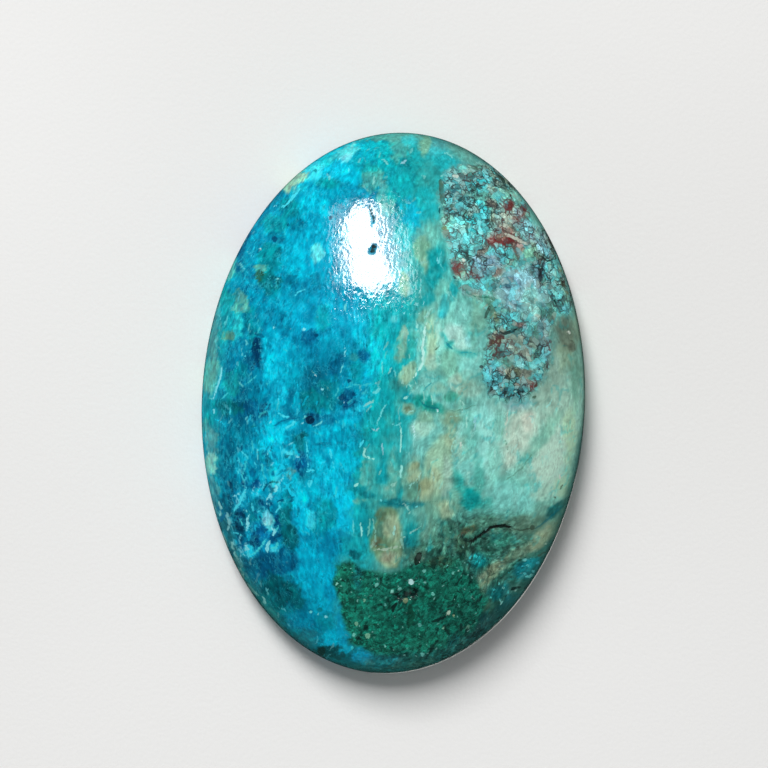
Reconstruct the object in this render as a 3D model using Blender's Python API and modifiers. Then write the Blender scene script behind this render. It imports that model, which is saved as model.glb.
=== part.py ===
"""Shattuckite cabochon: one polished oval stone with a domed face and a flat ground back.

Metres, +Z up. The stone lies on its back. The origin is the centre of the flat
back, X runs across the stone and Y along it.
"""

import math

import bpy

# ---------------------------------------------------------------- dimensions
LENGTH = 0.0250  # along Y, over the girdle
WIDTH = 0.0177  # along X, over the girdle
HEIGHT = 0.0060  # flat back to the top of the dome

GIRDLE_BOTTOM = 0.00035  # top of the small bevel round the back
GIRDLE_TOP = 0.00140  # here the side wall turns into the dome
GIRDLE_LEAN = 0.00006  # how far the side wall leans in on its way up
BEVEL_WIDTH = 0.00035  # the bevel that keeps the back edge from chipping

SHOULDER = 2.22  # 2 is an elliptical dome; more is fuller at the shoulders
CROWN = 2.10  # the same for the crown

STEPS_ROUND = 112
STEPS_DOME = 24

STONE_COLOUR = (0.030, 0.330, 0.360, 1.0)
STONE_ROUGHNESS = 0.18


def clear_scene():
    for obj in list(bpy.data.objects):
        bpy.data.objects.remove(obj, do_unlink=True)


def half_profile():
    """(radius, height) of the stone turned round, with the radius at the girdle as 1, from the top of the dome down the outside to the middle of the back."""
    half = WIDTH / 2
    lean = GIRDLE_LEAN / half
    points = []
    for i in range(STEPS_DOME + 1):
        # Equal steps of this angle crowd the points towards the steep shoulder.
        angle = math.pi / 2 * i / STEPS_DOME
        radius = math.sin(angle) ** (2 / SHOULDER) if i else 0.0
        rise = max(0.0, math.cos(angle)) ** (2 / CROWN) if i < STEPS_DOME else 0.0
        points.append(
            (radius * (1 - lean), GIRDLE_TOP + (HEIGHT - GIRDLE_TOP) * rise)
        )
    points.append((1 - 0.4 * lean, (GIRDLE_TOP + GIRDLE_BOTTOM) / 2))
    points.append((1.0, GIRDLE_BOTTOM))
    points.append((1 - 0.25 * BEVEL_WIDTH / half, 0.45 * GIRDLE_BOTTOM))
    points.append((1 - BEVEL_WIDTH / half, 0.0))
    points.append((0.0, 0.0))
    return points


def turned_blank():
    """The stone as a round blank of radius 1, from a Screw modifier on its half profile."""
    profile = half_profile()
    mesh = bpy.data.meshes.new("blank_profile")
    mesh.from_pydata(
        [(radius, 0.0, height) for radius, height in profile],
        [(i, i + 1) for i in range(len(profile) - 1)],
        [],
    )
    blank = bpy.data.objects.new("blank", mesh)
    bpy.context.scene.collection.objects.link(blank)
    screw = blank.modifiers.new("turn", "SCREW")
    screw.axis = "Z"
    screw.angle = 2 * math.pi
    screw.steps = STEPS_ROUND
    screw.render_steps = STEPS_ROUND
    screw.use_merge_vertices = True
    screw.merge_threshold = 1e-6
    screw.use_smooth_shade = True
    bpy.context.view_layer.update()
    graph = bpy.context.evaluated_depsgraph_get()
    turned = bpy.data.meshes.new_from_object(blank.evaluated_get(graph))
    bpy.data.objects.remove(blank, do_unlink=True)
    return turned


def grind_to_oval(mesh):
    """Presses the round blank to the stone's width and length."""
    for vertex in mesh.vertices:
        vertex.co.x *= WIDTH / 2
        vertex.co.y *= LENGTH / 2


def stone_material():
    material = bpy.data.materials.new("polished_shattuckite")
    material.use_nodes = True
    shader = material.node_tree.nodes["Principled BSDF"]
    shader.inputs["Base Color"].default_value = STONE_COLOUR
    shader.inputs["Roughness"].default_value = STONE_ROUGHNESS
    shader.inputs["Metallic"].default_value = 0.0
    shader.inputs["IOR"].default_value = 1.54
    material.diffuse_color = STONE_COLOUR
    return material


def main():
    clear_scene()
    collection = bpy.data.collections.new("shattuckite_cabochon")
    bpy.context.scene.collection.children.link(collection)

    mesh = turned_blank()
    mesh.name = "cabochon"
    grind_to_oval(mesh)
    mesh.shade_smooth()
    mesh.set_sharp_from_angle(angle=math.radians(28))
    mesh.materials.clear()
    mesh.materials.append(stone_material())

    cabochon = bpy.data.objects.new("cabochon", mesh)
    collection.objects.link(cabochon)


main()
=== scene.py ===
"""Shattuckite cabochon: the looks of one polished oval stone, on pale card under soft studio light.

Every point of the stone has a place on a chart of its face. Zones, veins, fibres and specks of the
minerals are set out on that chart, run down into the stone, and are painted onto a fine mesh;
the shader adds the grain that is finer than the mesh.
"""

import math

import bpy
import numpy as np
from mathutils import Matrix, Vector

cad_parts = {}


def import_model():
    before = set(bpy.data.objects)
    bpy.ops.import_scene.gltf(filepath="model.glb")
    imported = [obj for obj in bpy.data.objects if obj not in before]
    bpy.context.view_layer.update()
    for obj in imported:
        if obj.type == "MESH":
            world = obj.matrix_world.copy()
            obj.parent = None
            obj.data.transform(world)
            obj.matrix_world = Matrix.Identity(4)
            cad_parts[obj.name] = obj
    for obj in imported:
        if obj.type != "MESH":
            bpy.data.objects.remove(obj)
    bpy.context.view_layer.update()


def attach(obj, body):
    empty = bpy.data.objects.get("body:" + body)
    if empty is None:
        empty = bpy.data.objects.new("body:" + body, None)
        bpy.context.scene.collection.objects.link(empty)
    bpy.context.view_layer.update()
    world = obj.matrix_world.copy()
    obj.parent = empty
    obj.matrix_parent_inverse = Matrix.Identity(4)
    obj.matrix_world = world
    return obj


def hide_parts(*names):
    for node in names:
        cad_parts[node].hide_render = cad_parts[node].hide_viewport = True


# ---------------------------------------------------------------- the stone's shape
LENGTH, WIDTH, HEIGHT = 25.0, 17.7, 6.0  # millimetres
GIRDLE_BOTTOM, GIRDLE_TOP, GIRDLE_LEAN = 0.35, 1.40, 0.06
BEVEL = 0.35
SHOULDER, CROWN = 2.22, 2.10

# The face is charted flat: chart units of 1/21.7 mm, u to the right and v down,
# with the stone's middle at (392.5, 402.4) and its length leaning 3.1 degrees.
UNIT = 0.046074
CHART_U, CHART_V, CHART_LEAN = 392.5, 402.4, math.radians(3.1)
EYE = 180.0  # the chart is drawn from this height above the girdle


def to_oval(x, y):
    """Points of the unit round to the oval, in millimetres."""
    return x * WIDTH / 2, y * LENGTH / 2


def from_oval(x, y):
    """The unit round's radius at a point of the oval."""
    return np.hypot(x / (WIDTH / 2), y / (LENGTH / 2))


def dome_height(rho):
    rho = np.clip(rho, 0, 1)
    return GIRDLE_TOP + (HEIGHT - GIRDLE_TOP) * (1 - rho**SHOULDER) ** (1 / CROWN)


_a, _b = 384 - CHART_U, CHART_V - 384
# the point of the girdle's plane under the eye, in millimetres: (384, 384) on the chart
FOOT = (
    (_a * math.cos(CHART_LEAN) - _b * math.sin(CHART_LEAN) - 0.9) * UNIT,
    (_a * math.sin(CHART_LEAN) + _b * math.cos(CHART_LEAN) + 0.6) * UNIT,
)


def chart(p):
    """(u, v, w) of points in millimetres: where they lie on the chart of the face, and how high, all in chart units."""
    grow = EYE / (EYE - (p[:, 2] - 0.9)) / UNIT
    x, y = (p[:, 0] - FOOT[0]) * grow, (p[:, 1] - FOOT[1]) * grow
    c, s = math.cos(CHART_LEAN), math.sin(CHART_LEAN)
    return np.stack([384 + x * c + y * s, 384 - (y * c - x * s), p[:, 2] / UNIT], 1)


# ---------------------------------------------------------------- noise
_directions = np.random.RandomState(11).normal(size=(256, 3))
_directions /= np.linalg.norm(_directions, axis=1)[:, None]
_shuffle = np.random.RandomState(12).permutation(256)
_shuffle = np.concatenate([_shuffle, _shuffle, _shuffle])
_levels = np.random.RandomState(13).random_sample((256, 4))


def lattice(i, j, k, seed):
    i, j, k = (i + 37 * seed) & 255, (j + 91 * seed) & 255, (k + 17 * seed) & 255
    return _shuffle[_shuffle[_shuffle[i] + j] + k]


def noise(q, seed=0):
    """Smooth noise from about -1 to 1, one value for each row of q."""
    cell = np.floor(q).astype(np.int64)
    f = q - cell
    e = f * f * f * (f * (f * 6 - 15) + 10)
    total = 0.0
    for a in (0, 1):
        for b in (0, 1):
            for c in (0, 1):
                g = _directions[
                    lattice(cell[:, 0] + a, cell[:, 1] + b, cell[:, 2] + c, seed)
                ]
                d = (
                    g[:, 0] * (f[:, 0] - a)
                    + g[:, 1] * (f[:, 1] - b)
                    + g[:, 2] * (f[:, 2] - c)
                )
                share = (
                    (e[:, 0] if a else 1 - e[:, 0])
                    * (e[:, 1] if b else 1 - e[:, 1])
                    * (e[:, 2] if c else 1 - e[:, 2])
                )
                total = total + share * d
    return total * 1.9


def clouds(q, octaves=3, seed=0, gain=0.55):
    total, size, norm = 0.0, 1.0, 0.0
    for i in range(octaves):
        total = total + size * noise(q * 2.03**i, seed + 5 * i)
        norm += size * size
        size *= gain
    return total / math.sqrt(norm)


def grain(p, across, along, lean=0.0, octaves=2, seed=0, gain=0.6):
    """Noise drawn out along a direction that leans to the right of straight up by lean degrees."""
    a = math.radians(lean)
    u = p[:, 0] * math.cos(a) + p[:, 1] * math.sin(a)
    v = -p[:, 0] * math.sin(a) + p[:, 1] * math.cos(a)
    return clouds(
        np.stack([u / across, v / along, p[:, 2] / across], 1), octaves, seed, gain
    )


def cells(q, seed=0, jitter=0.9):
    """For each point: distance to the nearest cell centre, to the second nearest, and the nearest cell's own four random levels."""
    base = np.floor(q).astype(np.int64)
    f = q - base
    n = len(q)
    first, second = np.full(n, 9.0), np.full(n, 9.0)
    best = np.zeros(n, np.int64)
    for a in (-1, 0, 1):
        for b in (-1, 0, 1):
            for c in (-1, 0, 1):
                h = lattice(base[:, 0] + a, base[:, 1] + b, base[:, 2] + c, seed)
                o = (_levels[h][:, :3] - 0.5) * jitter + 0.5
                d = np.sqrt(
                    (a + o[:, 0] - f[:, 0]) ** 2
                    + (b + o[:, 1] - f[:, 1]) ** 2
                    + (c + o[:, 2] - f[:, 2]) ** 2
                )
                nearer = d < first
                second = np.where(nearer, first, np.minimum(second, d))
                best = np.where(nearer, h, best)
                first = np.where(nearer, d, first)
    return first, second, _levels[_shuffle[best]]


def step(low, high, x):
    t = np.clip((x - low) / (high - low), 0, 1)
    return t * t * (3 - 2 * t)


# ---------------------------------------------------------------- marks on the chart
def dab(u, v, x, y, rx, ry, lean=0.0, soft=0.45):
    """An oval patch: 1 inside, fading to 0 over soft times its size on each side of its edge. lean turns it clockwise."""
    a = math.radians(lean)
    du, dv = u - x, v - y
    i = du * math.cos(a) + dv * math.sin(a)
    j = -du * math.sin(a) + dv * math.cos(a)
    return 1 - step(1 - soft, 1 + soft, np.hypot(i / rx, j / ry))


def edge_distance(u, v, points):
    """Signed distance to a closed outline: positive inside."""
    best = np.full(len(u), 1e9)
    inside = np.zeros(len(u), bool)
    n = len(points)
    for i in range(n):
        (x0, y0), (x1, y1) = points[i], points[(i + 1) % n]
        dx, dy = x1 - x0, y1 - y0
        t = np.clip(((u - x0) * dx + (v - y0) * dy) / (dx * dx + dy * dy), 0, 1)
        best = np.minimum(best, (u - x0 - t * dx) ** 2 + (v - y0 - t * dy) ** 2)
        crosses = (y0 > v) != (y1 > v)
        if dy:
            inside ^= crosses & (u < x0 + (v - y0) * dx / dy)
    best = np.sqrt(best)
    return np.where(inside, best, -best)


def field(u, v, points, soft=3.0):
    return step(-soft, soft, edge_distance(u, v, points))


def within(u, v, points, width, taper=True):
    """How far inside a line through points each place is, negative outside; the line is width wide at its middle and thin at its ends."""
    best = np.full(len(u), -1e9)
    lengths = [math.dist(points[i], points[i + 1]) for i in range(len(points) - 1)]
    total, gone = sum(lengths), 0.0
    for i, length in enumerate(lengths):
        (x0, y0), (x1, y1) = points[i], points[i + 1]
        dx, dy = x1 - x0, y1 - y0
        t = np.clip(((u - x0) * dx + (v - y0) * dy) / (length * length), 0, 1)
        d = np.hypot(u - x0 - t * dx, v - y0 - t * dy)
        half = width / 2
        if taper:
            s = (gone + t * length) / total
            half = half * np.clip(4 * s * (1 - s), 0, 1) ** 0.35
        best = np.maximum(best, half - d)
        gone += length
    return best


def stroke(u, v, points, width, soft=0.9):
    return step(-soft, soft, within(u, v, points, width))


def near(u, v, box):
    return np.nonzero((u > box[0]) & (u < box[2]) & (v > box[1]) & (v < box[3]))[0]
# ---------------------------------------------------------------- the minerals' tones, in 0-255 sRGB
INK = (5, 38, 66)
NAVY = (4, 62, 102)
DENIM = (4, 90, 130)
STORM = (5, 112, 142)
AZURE = (4, 136, 170)
SKY = (5, 158, 188)
CYAN = (6, 184, 214)
BRIGHT_CYAN = (22, 206, 236)
ICE = (72, 224, 242)
FROST = (136, 236, 246)
SNOW = (196, 244, 244)
BLACK_TEAL = (8, 32, 30)
INKY_TEAL = (8, 56, 60)
DARK_TEAL = (6, 82, 92)
DEEP_TEAL = (8, 108, 118)
TEAL = (8, 132, 144)
SEA = (18, 156, 162)
TURQUOISE = (24, 176, 184)
LAGOON = (60, 198, 204)
AQUA = (104, 214, 216)
FOAM = (150, 228, 218)
HAZE = (142, 200, 212)
SLATE = (50, 102, 116)
STEEL_SAGE = (78, 150, 154)
SAGE = (84, 162, 152)
LEAF_SAGE = (114, 172, 144)
CELADON = (104, 188, 174)
MINT = (130, 204, 188)
PALE_MINT = (160, 218, 204)
CREAM = (156, 184, 164)
SAND = (148, 188, 170)
SHELL = (190, 198, 182)
STONE_TAN = (140, 160, 124)
KHAKI = (120, 136, 104)
FAWN = (138, 134, 114)
OLIVE = (92, 104, 72)
MOSS = (58, 86, 66)
BOTTLE = (8, 58, 44)
GREEN = (14, 102, 82)
JADE = (52, 142, 122)
BARK = (80, 66, 56)
LIVER = (100, 58, 54)
RUST = (90, 30, 28)
ROSE = (186, 156, 150)
PITCH = (16, 20, 18)
FERN = (82, 134, 114)
VERDIGRIS = (44, 160, 160)
GRAPHITE = (40, 48, 56)
DUSK = (110, 146, 168)
MAROON = (62, 36, 38)
PEARL = (214, 226, 212)
CLAY = (136, 102, 92)
DEEP_MOSS = (44, 60, 48)
PINE = (42, 98, 84)
LODEN = (78, 110, 92)
MARSH = (16, 82, 78)
BOG = (24, 66, 58)
# painted shade: the darker tone laid along the right of the rim
RIM_SHADE_TONE = (92, 116, 100)
MOSSY_SLATE = (58, 92, 90)
# painted shade: the dark laid in the pits and the score by the bright spot
PIT_SHADE_TONE = (20, 66, 68)
TEA_GREEN = (148, 192, 162)
MEADOW = (112, 172, 150)
BUFF = (152, 176, 142)
MIST = (116, 194, 184)
GLASS = (92, 180, 176)
SHELL_GREEN = (180, 206, 188)
CREAM_GREEN = (168, 202, 184)
TAN_GREEN = (146, 178, 148)
SAGE_CREAM = (146, 184, 166)
RED_RUST = (118, 38, 38)
GREEN_TEAL = (10, 138, 128)
PALE_GREY = (172, 210, 202)
DEEP_COBALT = (5, 72, 122)
COBALT = (6, 98, 150)
LAPIS = (8, 124, 172)
FIORD = (10, 88, 112)
DUSTY_SAGE = (110, 160, 156)
SOFT_SAGE = (122, 182, 160)
CLEAR_CYAN = (4, 198, 228)
CLEAR_BLUE = (4, 160, 192)
# ---------------------------------------------------------------- what grew where
# Patches of mineral on the chart, largest first:
# (u, v, half-width, half-height, lean, softness, colour in 0-255 sRGB, strength)
PATCHES = [
    # azure and cyan fibrous side, from the top down
    (392, 136, 44, 6, 0, .5, SAGE, .9),
    (388, 155, 14, 12, 0, .6, TURQUOISE, .8),
    (372, 178, 14, 14, 10, .6, SAGE, .8),
    # partly painted sheen: this paler patch at the top edge of the bright spot stands in for its scattered light
    (386, 196, 10, 18, -10, .6, CELADON, .7),
    (362, 165, 14, 8, 0, .7, TURQUOISE, .6),
    (345, 152, 16, 6, -25, .6, AQUA, .75),
    (352, 174, 8, 12, 0, .6, CYAN, .8),
    (340, 168, 10, 8, -20, .6, BRIGHT_CYAN, .7),
    (327, 170, 6, 5, 0, .6, BRIGHT_CYAN, .7),
    (347, 158, 7, 4, -10, .5, FROST, .7),
    (328, 161, 18, 5, -27, .6, LAGOON, .7),
    (326, 183, 12, 6, 0, .6, SEA, .8),
    (312, 171, 12, 10, -30, .6, ICE, .85),
    (292, 180, 15, 8, -38, .6, (150, 200, 172), .95),
    (301, 190, 8, 4, -35, .5, AQUA, .6),
    (307, 188, 8, 5, -20, .6, SKY, .5),
    (273, 197, 9, 13, 35, .6, STORM, .9),
    (262, 212, 9, 9, 30, .6, AZURE, .6),
    (292, 208, 13, 9, 0, .7, TEAL, .85),
    (296, 224, 7, 5, 0, .6, STORM, .8),
    (315, 205, 14, 18, 0, .7, CYAN, .8),
    (312, 235, 13, 13, 0, .7, SKY, .7),
    (275, 225, 14, 10, 0, .7, SEA, .7),
    (246, 237, 6, 11, 22, .6, DENIM, .85),
    (253, 247, 6, 12, 15, .6, SKY, .6),
    (240, 258, 4, 14, 14, .6, DENIM, .7),
    (272, 258, 14, 15, 0, .6, TEAL, .85),
    (275, 238, 8, 7, 0, .6, STORM, .8),
    (290, 255, 12, 22, 0, .6, CYAN, .95),
    (306, 270, 8, 10, 0, .6, CYAN, .75),
    # painted glow: this pale patch beside the bright spot stands in for the light round it
    (318, 253, 7, 10, 0, .7, AQUA, .8),
    (261, 269, 5, 4, 0, .6, LEAF_SAGE, .7),
    (262, 278, 6, 7, 15, .5, MOSS, .95),
    (271, 286, 9, 14, -10, .6, DEEP_TEAL, .9),
    (290, 279, 7, 6, 0, .6, STORM, .85),
    (304, 293, 12, 12, 0, .7, AZURE, .85),
    (316, 281, 6, 9, 0, .6, STORM, .8),
    (285, 302, 18, 13, 0, .8, SKY, .6),
    (237, 286, 12, 10, 0, .7, AZURE, .8),
    (230, 270, 5, 12, 18, .7, CELADON, .7),
    (226, 296, 7, 8, 0, .7, VERDIGRIS, .5),
    (240, 302, 8, 12, 0, .6, SAGE, .9),
    (246, 306, 4, 5, 0, .6, CELADON, .75),
    (238, 326, 5, 14, 8, .6, LAGOON, .85),
    (228, 336, 5, 5, 0, .6, FERN, .85),
    (213, 326, 7, 30, 9, .6, STEEL_SAGE, .85),
    (253, 325, 8, 20, 0, .7, TEAL, .6),
    (265, 320, 12, 20, 0, .8, AZURE, .5),
    (287, 326, 7, 14, -10, .6, STORM, .85),
    (275, 336, 7, 8, 0, .7, CYAN, .75),
    (311, 322, 9, 9, 0, .7, SKY, .6),
    (309, 337, 7, 9, 0, .6, DENIM, .85),
    (323, 318, 8, 14, 0, .8, SEA, .6),
    (256, 351, 5, 17, 0, .5, NAVY, .95),
    (251, 364, 7, 7, 0, .6, DENIM, .8),
    (268, 352, 5, 17, -8, .5, CYAN, .95),
    (274, 371, 6, 8, -25, .6, CYAN, .85),
    (292, 364, 14, 18, 0, .7, SKY, .85),
    (311, 352, 10, 10, 0, .7, AZURE, .6),
    (316, 380, 12, 16, 0, .7, STORM, .9),
    (313, 402, 14, 12, 0, .7, TEAL, .85),
    (313, 420, 9, 5, -10, .6, NAVY, .9),
    (325, 420, 8, 5, 0, .6, DENIM, .6),
    (281, 393, 5, 10, 0, .5, BRIGHT_CYAN, .85),
    (296, 404, 4, 11, 10, .5, CYAN, .85),
    (288, 400, 4, 10, 0, .6, AZURE, .6),
    (250, 393, 14, 15, 0, .7, STORM, .8),
    (252, 412, 17, 10, 0, .7, DENIM, .85),
    (265, 408, 4, 6, 0, .6, NAVY, .8),
    (229, 408, 12, 9, 0, .7, DEEP_TEAL, .9),
    (232, 384, 9, 14, 0, .7, VERDIGRIS, .75),
    (241, 370, 8, 10, 0, .7, TEAL, .6),
    (211, 376, 8, 20, 6, .5, SAGE, .95),
    (210, 350, 8, 14, 8, .6, STEEL_SAGE, .75),
    (211, 412, 7, 13, 0, .6, TEAL, .75),
    (206, 426, 6, 8, 0, .6, SAGE, .6),
    (213, 446, 8, 15, -5, .6, STEEL_SAGE, .85),
    (212, 464, 9, 12, -8, .6, MINT, .9),
    (240, 442, 22, 14, 0, .7, AZURE, .9),
    (262, 430, 8, 8, 0, .7, AZURE, .6),
    (228, 475, 12, 22, 0, .8, STORM, .75),
    (250, 462, 15, 18, 0, .7, AZURE, .8),
    (262, 448, 4, 14, -8, .5, SEA, .6),
    (274, 438, 14, 16, -14, .45, CLEAR_CYAN, .97),
    (279, 456, 7, 15, -16, .45, CYAN, .95),
    (289, 425, 9, 5, -20, .6, BRIGHT_CYAN, .85),
    (268, 458, 4.5, 10, -12, .45, FIORD, .9),
    (289, 452, 8, 4, -12, .5, ICE, .75),
    (300, 446, 8, 11, 0, .7, DEEP_TEAL, .85),
    (301, 464, 9, 13, 0, .45, DEEP_COBALT, .92),
    (298, 479, 8, 5, 0, .6, FIORD, .8),
    (290, 473, 4.5, 6.5, 0, .4, DUSTY_SAGE, .9),
    (304, 434, 4, 3, 0, .5, DARK_TEAL, .7),
    (275, 474, 6.5, 9, 0, .6, LAGOON, .7),
    (276, 475, 2.2, 4, 0, .4, DENIM, .85),
    (273, 488, 4, 7, 0, .5, AQUA, .7),
    (263, 484, 5, 12, 0, .6, AZURE, .7),
    (243, 479, 3.6, 10, 0, .4, DEEP_COBALT, .92),
    (254, 484, 5, 5, 0, .4, DEEP_COBALT, .92),
    (252, 472, 3, 5, 0, .4, DENIM, .9),
    (256, 492, 7, 4, 0, .5, CLEAR_CYAN, .8),
    (213, 488, 8, 14, -10, .6, STEEL_SAGE, .85),
    (218, 506, 8, 18, -14, .6, (64, 124, 136), .85),
    (230, 506, 9, 14, -10, .7, FIORD, .9),
    (238, 497, 7, 8, 0, .6, DENIM, .8),
    (228, 534, 8, 20, -14, .6, (56, 108, 122), .9),
    (252, 516, 6, 18, 0, .6, DEEP_TEAL, .75),
    (258, 508, 7, 9, 0, .6, FIORD, .85),
    (240, 524, 5.5, 17, 0, .4, INK, .97),
    (266, 506, 6.5, 7, 0, .45, NAVY, .95),
    (268, 521, 6, 9, 0, .5, AQUA, .8),
    (261, 517, 4, 6, 0, .5, LAGOON, .6),
    (257, 532, 9, 10, 0, .6, COBALT, .85),
    (254, 542, 9, 6, 0, .6, NAVY, .85),
    (267, 536, 7, 7, 0, .6, LAPIS, .8),
    (277, 528, 5.5, 14, 8, .45, NAVY, .95),
    (286, 514, 7, 30, 3, .5, DEEP_TEAL, .92),
    (290, 538, 7, 16, 0, .6, DARK_TEAL, .8),
    (262, 551, 9, 5, -20, .6, LAPIS, .75),
    (246, 552, 3.6, 8, 0, .5, ICE, .8),
    (272, 562, 28, 13, -4, .6, (4, 80, 114), .97),
    (249, 566, 12, 10, 0, .6, FIORD, .85),
    (238, 556, 4, 14, -16, .6, (62, 116, 128), .85),
    (308, 488, 12, 15, 0, .7, CYAN, .85),
    (330, 480, 16, 18, 0, .7, CYAN, .9),
    (301, 505, 8, 30, -10, .45, CLEAR_CYAN, .97),
    (322, 518, 9, 22, 4, .6, (4, 140, 162), .85),
    (313, 519, 3.6, 9, 4, .4, ICE, .85),
    (341, 506, 6, 17, 8, .5, CLEAR_CYAN, .85),
    (306, 548, 10, 12, 0, .6, CLEAR_BLUE, .85),
    (326, 546, 9, 14, 0, .7, AZURE, .75),
    (233, 566, 9, 15, -27, .6, (70, 126, 132), .9),
    (254, 592, 10, 16, -36, .6, (48, 108, 120), .9),
    (279, 590, 18, 16, 0, .6, DARK_TEAL, .97),
    (268, 606, 12, 13, -20, .7, DEEP_TEAL, .85),
    (298, 598, 7, 16, 0, .7, DEEP_TEAL, .85),
    (270, 615, 7, 14, -42, .6, STEEL_SAGE, .8),
    (316, 578, 17, 24, -4, .6, CLEAR_BLUE, .97),
    (318, 604, 12, 16, 0, .7, SKY, .85),
    (330, 592, 7, 8, 0, .6, AZURE, .85),
    (300, 621, 16, 10, 0, .7, AZURE, .85),
    (325, 621, 10, 8, 0, .6, TEAL, .6),
    (331, 640, 10, 13, 0, .6, SKY, .85),
    (342, 630, 6, 20, -12, .6, AZURE, .85),
    (345, 649, 8, 5, 0, .6, SKY, .75),
    (303, 640, 15, 9, -32, .6, SLATE, .85),
    (325, 652, 17, 7, -18, .6, INKY_TEAL, .95),
    (350, 661, 16, 5, -10, .6, DARK_TEAL, .85),
    (364, 655, 12, 7, -15, .6, AZURE, .9),
    (386, 663, 13, 4, -8, .6, DEEP_TEAL, .85),
    # the middle, from the foot of the bright spot down
    (350, 325, 20, 20, 0, .9, SKY, .6),
    (335, 345, 16, 12, -20, .7, SKY, .6),
    (325, 360, 12, 12, 0, .7, AZURE, .6),
    (336, 367, 6, 12, 15, .6, DENIM, .75),
    (364, 355, 7, 8, 0, .6, DENIM, .85),
    (355, 375, 8, 14, 0, .7, TEAL, .75),
    (353, 358, 5, 5, 0, .6, STEEL_SAGE, .65),
    (345, 398, 9, 10, -10, .6, NAVY, .9),
    (330, 395, 12, 16, 0, .8, TEAL, .75),
    (354, 392, 6, 8, 0, .6, STORM, .6),
    (385, 325, 12, 22, 0, .8, TURQUOISE, .85),
    (386, 350, 12, 12, 0, .7, CYAN, .85),
    (391, 355, 5, 4, 0, .6, ICE, .7),
    (375, 345, 5, 8, -30, .6, BRIGHT_CYAN, .7),
    (372, 375, 8, 12, 20, .6, CYAN, .75),
    (385, 375, 8, 9, 0, .6, LAGOON, .7),
    (372, 400, 6, 10, 20, .6, CYAN, .85),
    (382, 398, 5, 10, 30, .6, SKY, .85),
    (362, 408, 6, 4, 0, .6, ICE, .75),
    (392, 382, 8, 12, 0, .7, TEAL, .75),
    (376, 386, 6, 6, 0, .6, SEA, .6),
    (369, 421, 6, 9, 0, .6, TURQUOISE, .85),
    (352, 418, 10, 8, 0, .7, CYAN, .85),
    (340, 412, 9, 7, 0, .7, AZURE, .7),
    (350, 440, 14, 14, 0, .7, SKY, .75),
    (332, 430, 10, 4, -10, .6, CYAN, .85),
    (326, 437, 5, 7, 20, .6, CYAN, .85),
    (328, 445, 10, 2.5, 0, .6, STORM, .85),
    (340, 460, 20, 18, 0, .8, CYAN, .85),
    (330, 485, 14, 16, 0, .7, CYAN, .85),
    (350, 480, 5, 10, 0, .6, AZURE, .6),
    (347, 500, 8, 10, 20, .6, CYAN, .85),
    (328, 515, 10, 14, 0, .7, TEAL, .75),
    (345, 520, 8, 14, 0, .7, SKY, .6),
    (338, 538, 10, 8, 0, .6, STORM, .7),
    (346, 546, 10, 9, 0, .7, TEAL, .6),
    (353, 555, 4, 5, 0, .6, DARK_TEAL, .75),
    (394, 350, 11, 38, 4, .9, (16, 168, 186), .55),
    (386, 396, 10, 26, 6, .9, (10, 160, 178), .45),
    # streaky teal and sage between the blue side and the tan patches
    (390, 382, 12, 12, 0, .8, DEEP_TEAL, .7),
    (384, 408, 14, 18, 10, .8, TEAL, .7),
    (392, 420, 10, 16, 0, .8, SEA, .7),
    (382, 430, 12, 16, 0, .7, SEA, .85),
    (396, 438, 5, 14, 0, .7, GLASS, .8),
    (386, 448, 8, 14, 0, .8, VERDIGRIS, .7),
    (370, 452, 6, 6, 0, .7, STEEL_SAGE, .8),
    (369, 474, 8, 13, 0, .5, SAGE, .95),
    (382, 471, 5, 15, 0, .5, TEAL, .95),
    (393, 469, 6, 16, 0, .6, MEADOW, .8),
    (386, 489, 9, 6, 0, .6, CELADON, .9),
    (387, 488, 4, 3, 0, .6, SAND, .6),
    (400, 489, 3.5, 12, 0, .6, SEA, .9),
    (360, 490, 10, 5, 0, .6, TEAL, .8),
    (368, 495, 7, 4, 0, .6, DEEP_TEAL, .85),
    (358, 501, 7, 3, 0, .6, MEADOW, .7),
    (402, 504, 22, 4, 2, .6, DEEP_TEAL, .85),
    (421, 503, 8, 3, -5, .6, DEEP_TEAL, .7),
    (409, 516, 6, 12, 0, .7, (60, 168, 164), .8),
    (412, 536, 8, 13, 0, .6, (14, 148, 152), .95),
    (407, 543, 4, 6, 0, .6, DEEP_TEAL, .7),
    (427, 547, 7, 5, 0, .6, JADE, .9),
    (428, 547, 3, 3, 0, .6, TURQUOISE, .8),
    (361, 530, 6, 26, 0, .8, TEAL, .75),
    (354, 556, 5, 5, 0, .6, DARK_TEAL, .8),
    # tan and beige patches
    (414, 448, 12, 16, 0, .8, MIST, .8),
    (424, 447, 12, 14, 0, .8, MIST, .6),
    (438, 466, 13, 36, 17, .45, TEA_GREEN, .95),
    (450, 436, 6, 12, 5, .6, BUFF, .5),
    (413, 473, 8, 10, 0, .5, BUFF, .9),
    (415, 466, 5, 3, 0, .5, KHAKI, .8),
    (412, 491, 5, 9, 0, .6, FERN, .75),
    (426, 488, 8, 10, 0, .55, BUFF, .95),
    (425, 486, 5, 8, 10, .7, (142, 156, 116), .6),
    (435, 475, 5, 8, 0, .6, BUFF, .85),
    (446, 468, 4, 13, 3, .6, SAND, .85),
    (446, 488, 5, 12, 0, .7, SAND, .7),
    (446, 510, 11, 9, 0, .6, BUFF, .9),
    (430, 520, 10, 18, 0, .7, MEADOW, .8),
    (424, 524, 3, 14, 0, .7, SAGE, .7),
    (449, 528, 10, 9, 0, .7, FERN, .8),
    (434, 541, 9, 8, 0, .8, FERN, .6),
    (380, 514, 6.5, 6, 0, .5, OLIVE, .85),
    (381, 530, 6, 9, 0, .6, FERN, .85),
    (393, 527, 9, 14, 0, .6, BUFF, .95),
    (389, 558, 10, 8, 0, .6, BUFF, .85),
    (386, 556, 6, 5, 0, .6, FAWN, .6),
    (376, 543, 7, 5, 0, .5, OLIVE, .9),
    (376, 544, 4, 3, 0, .6, BARK, .35),
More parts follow.
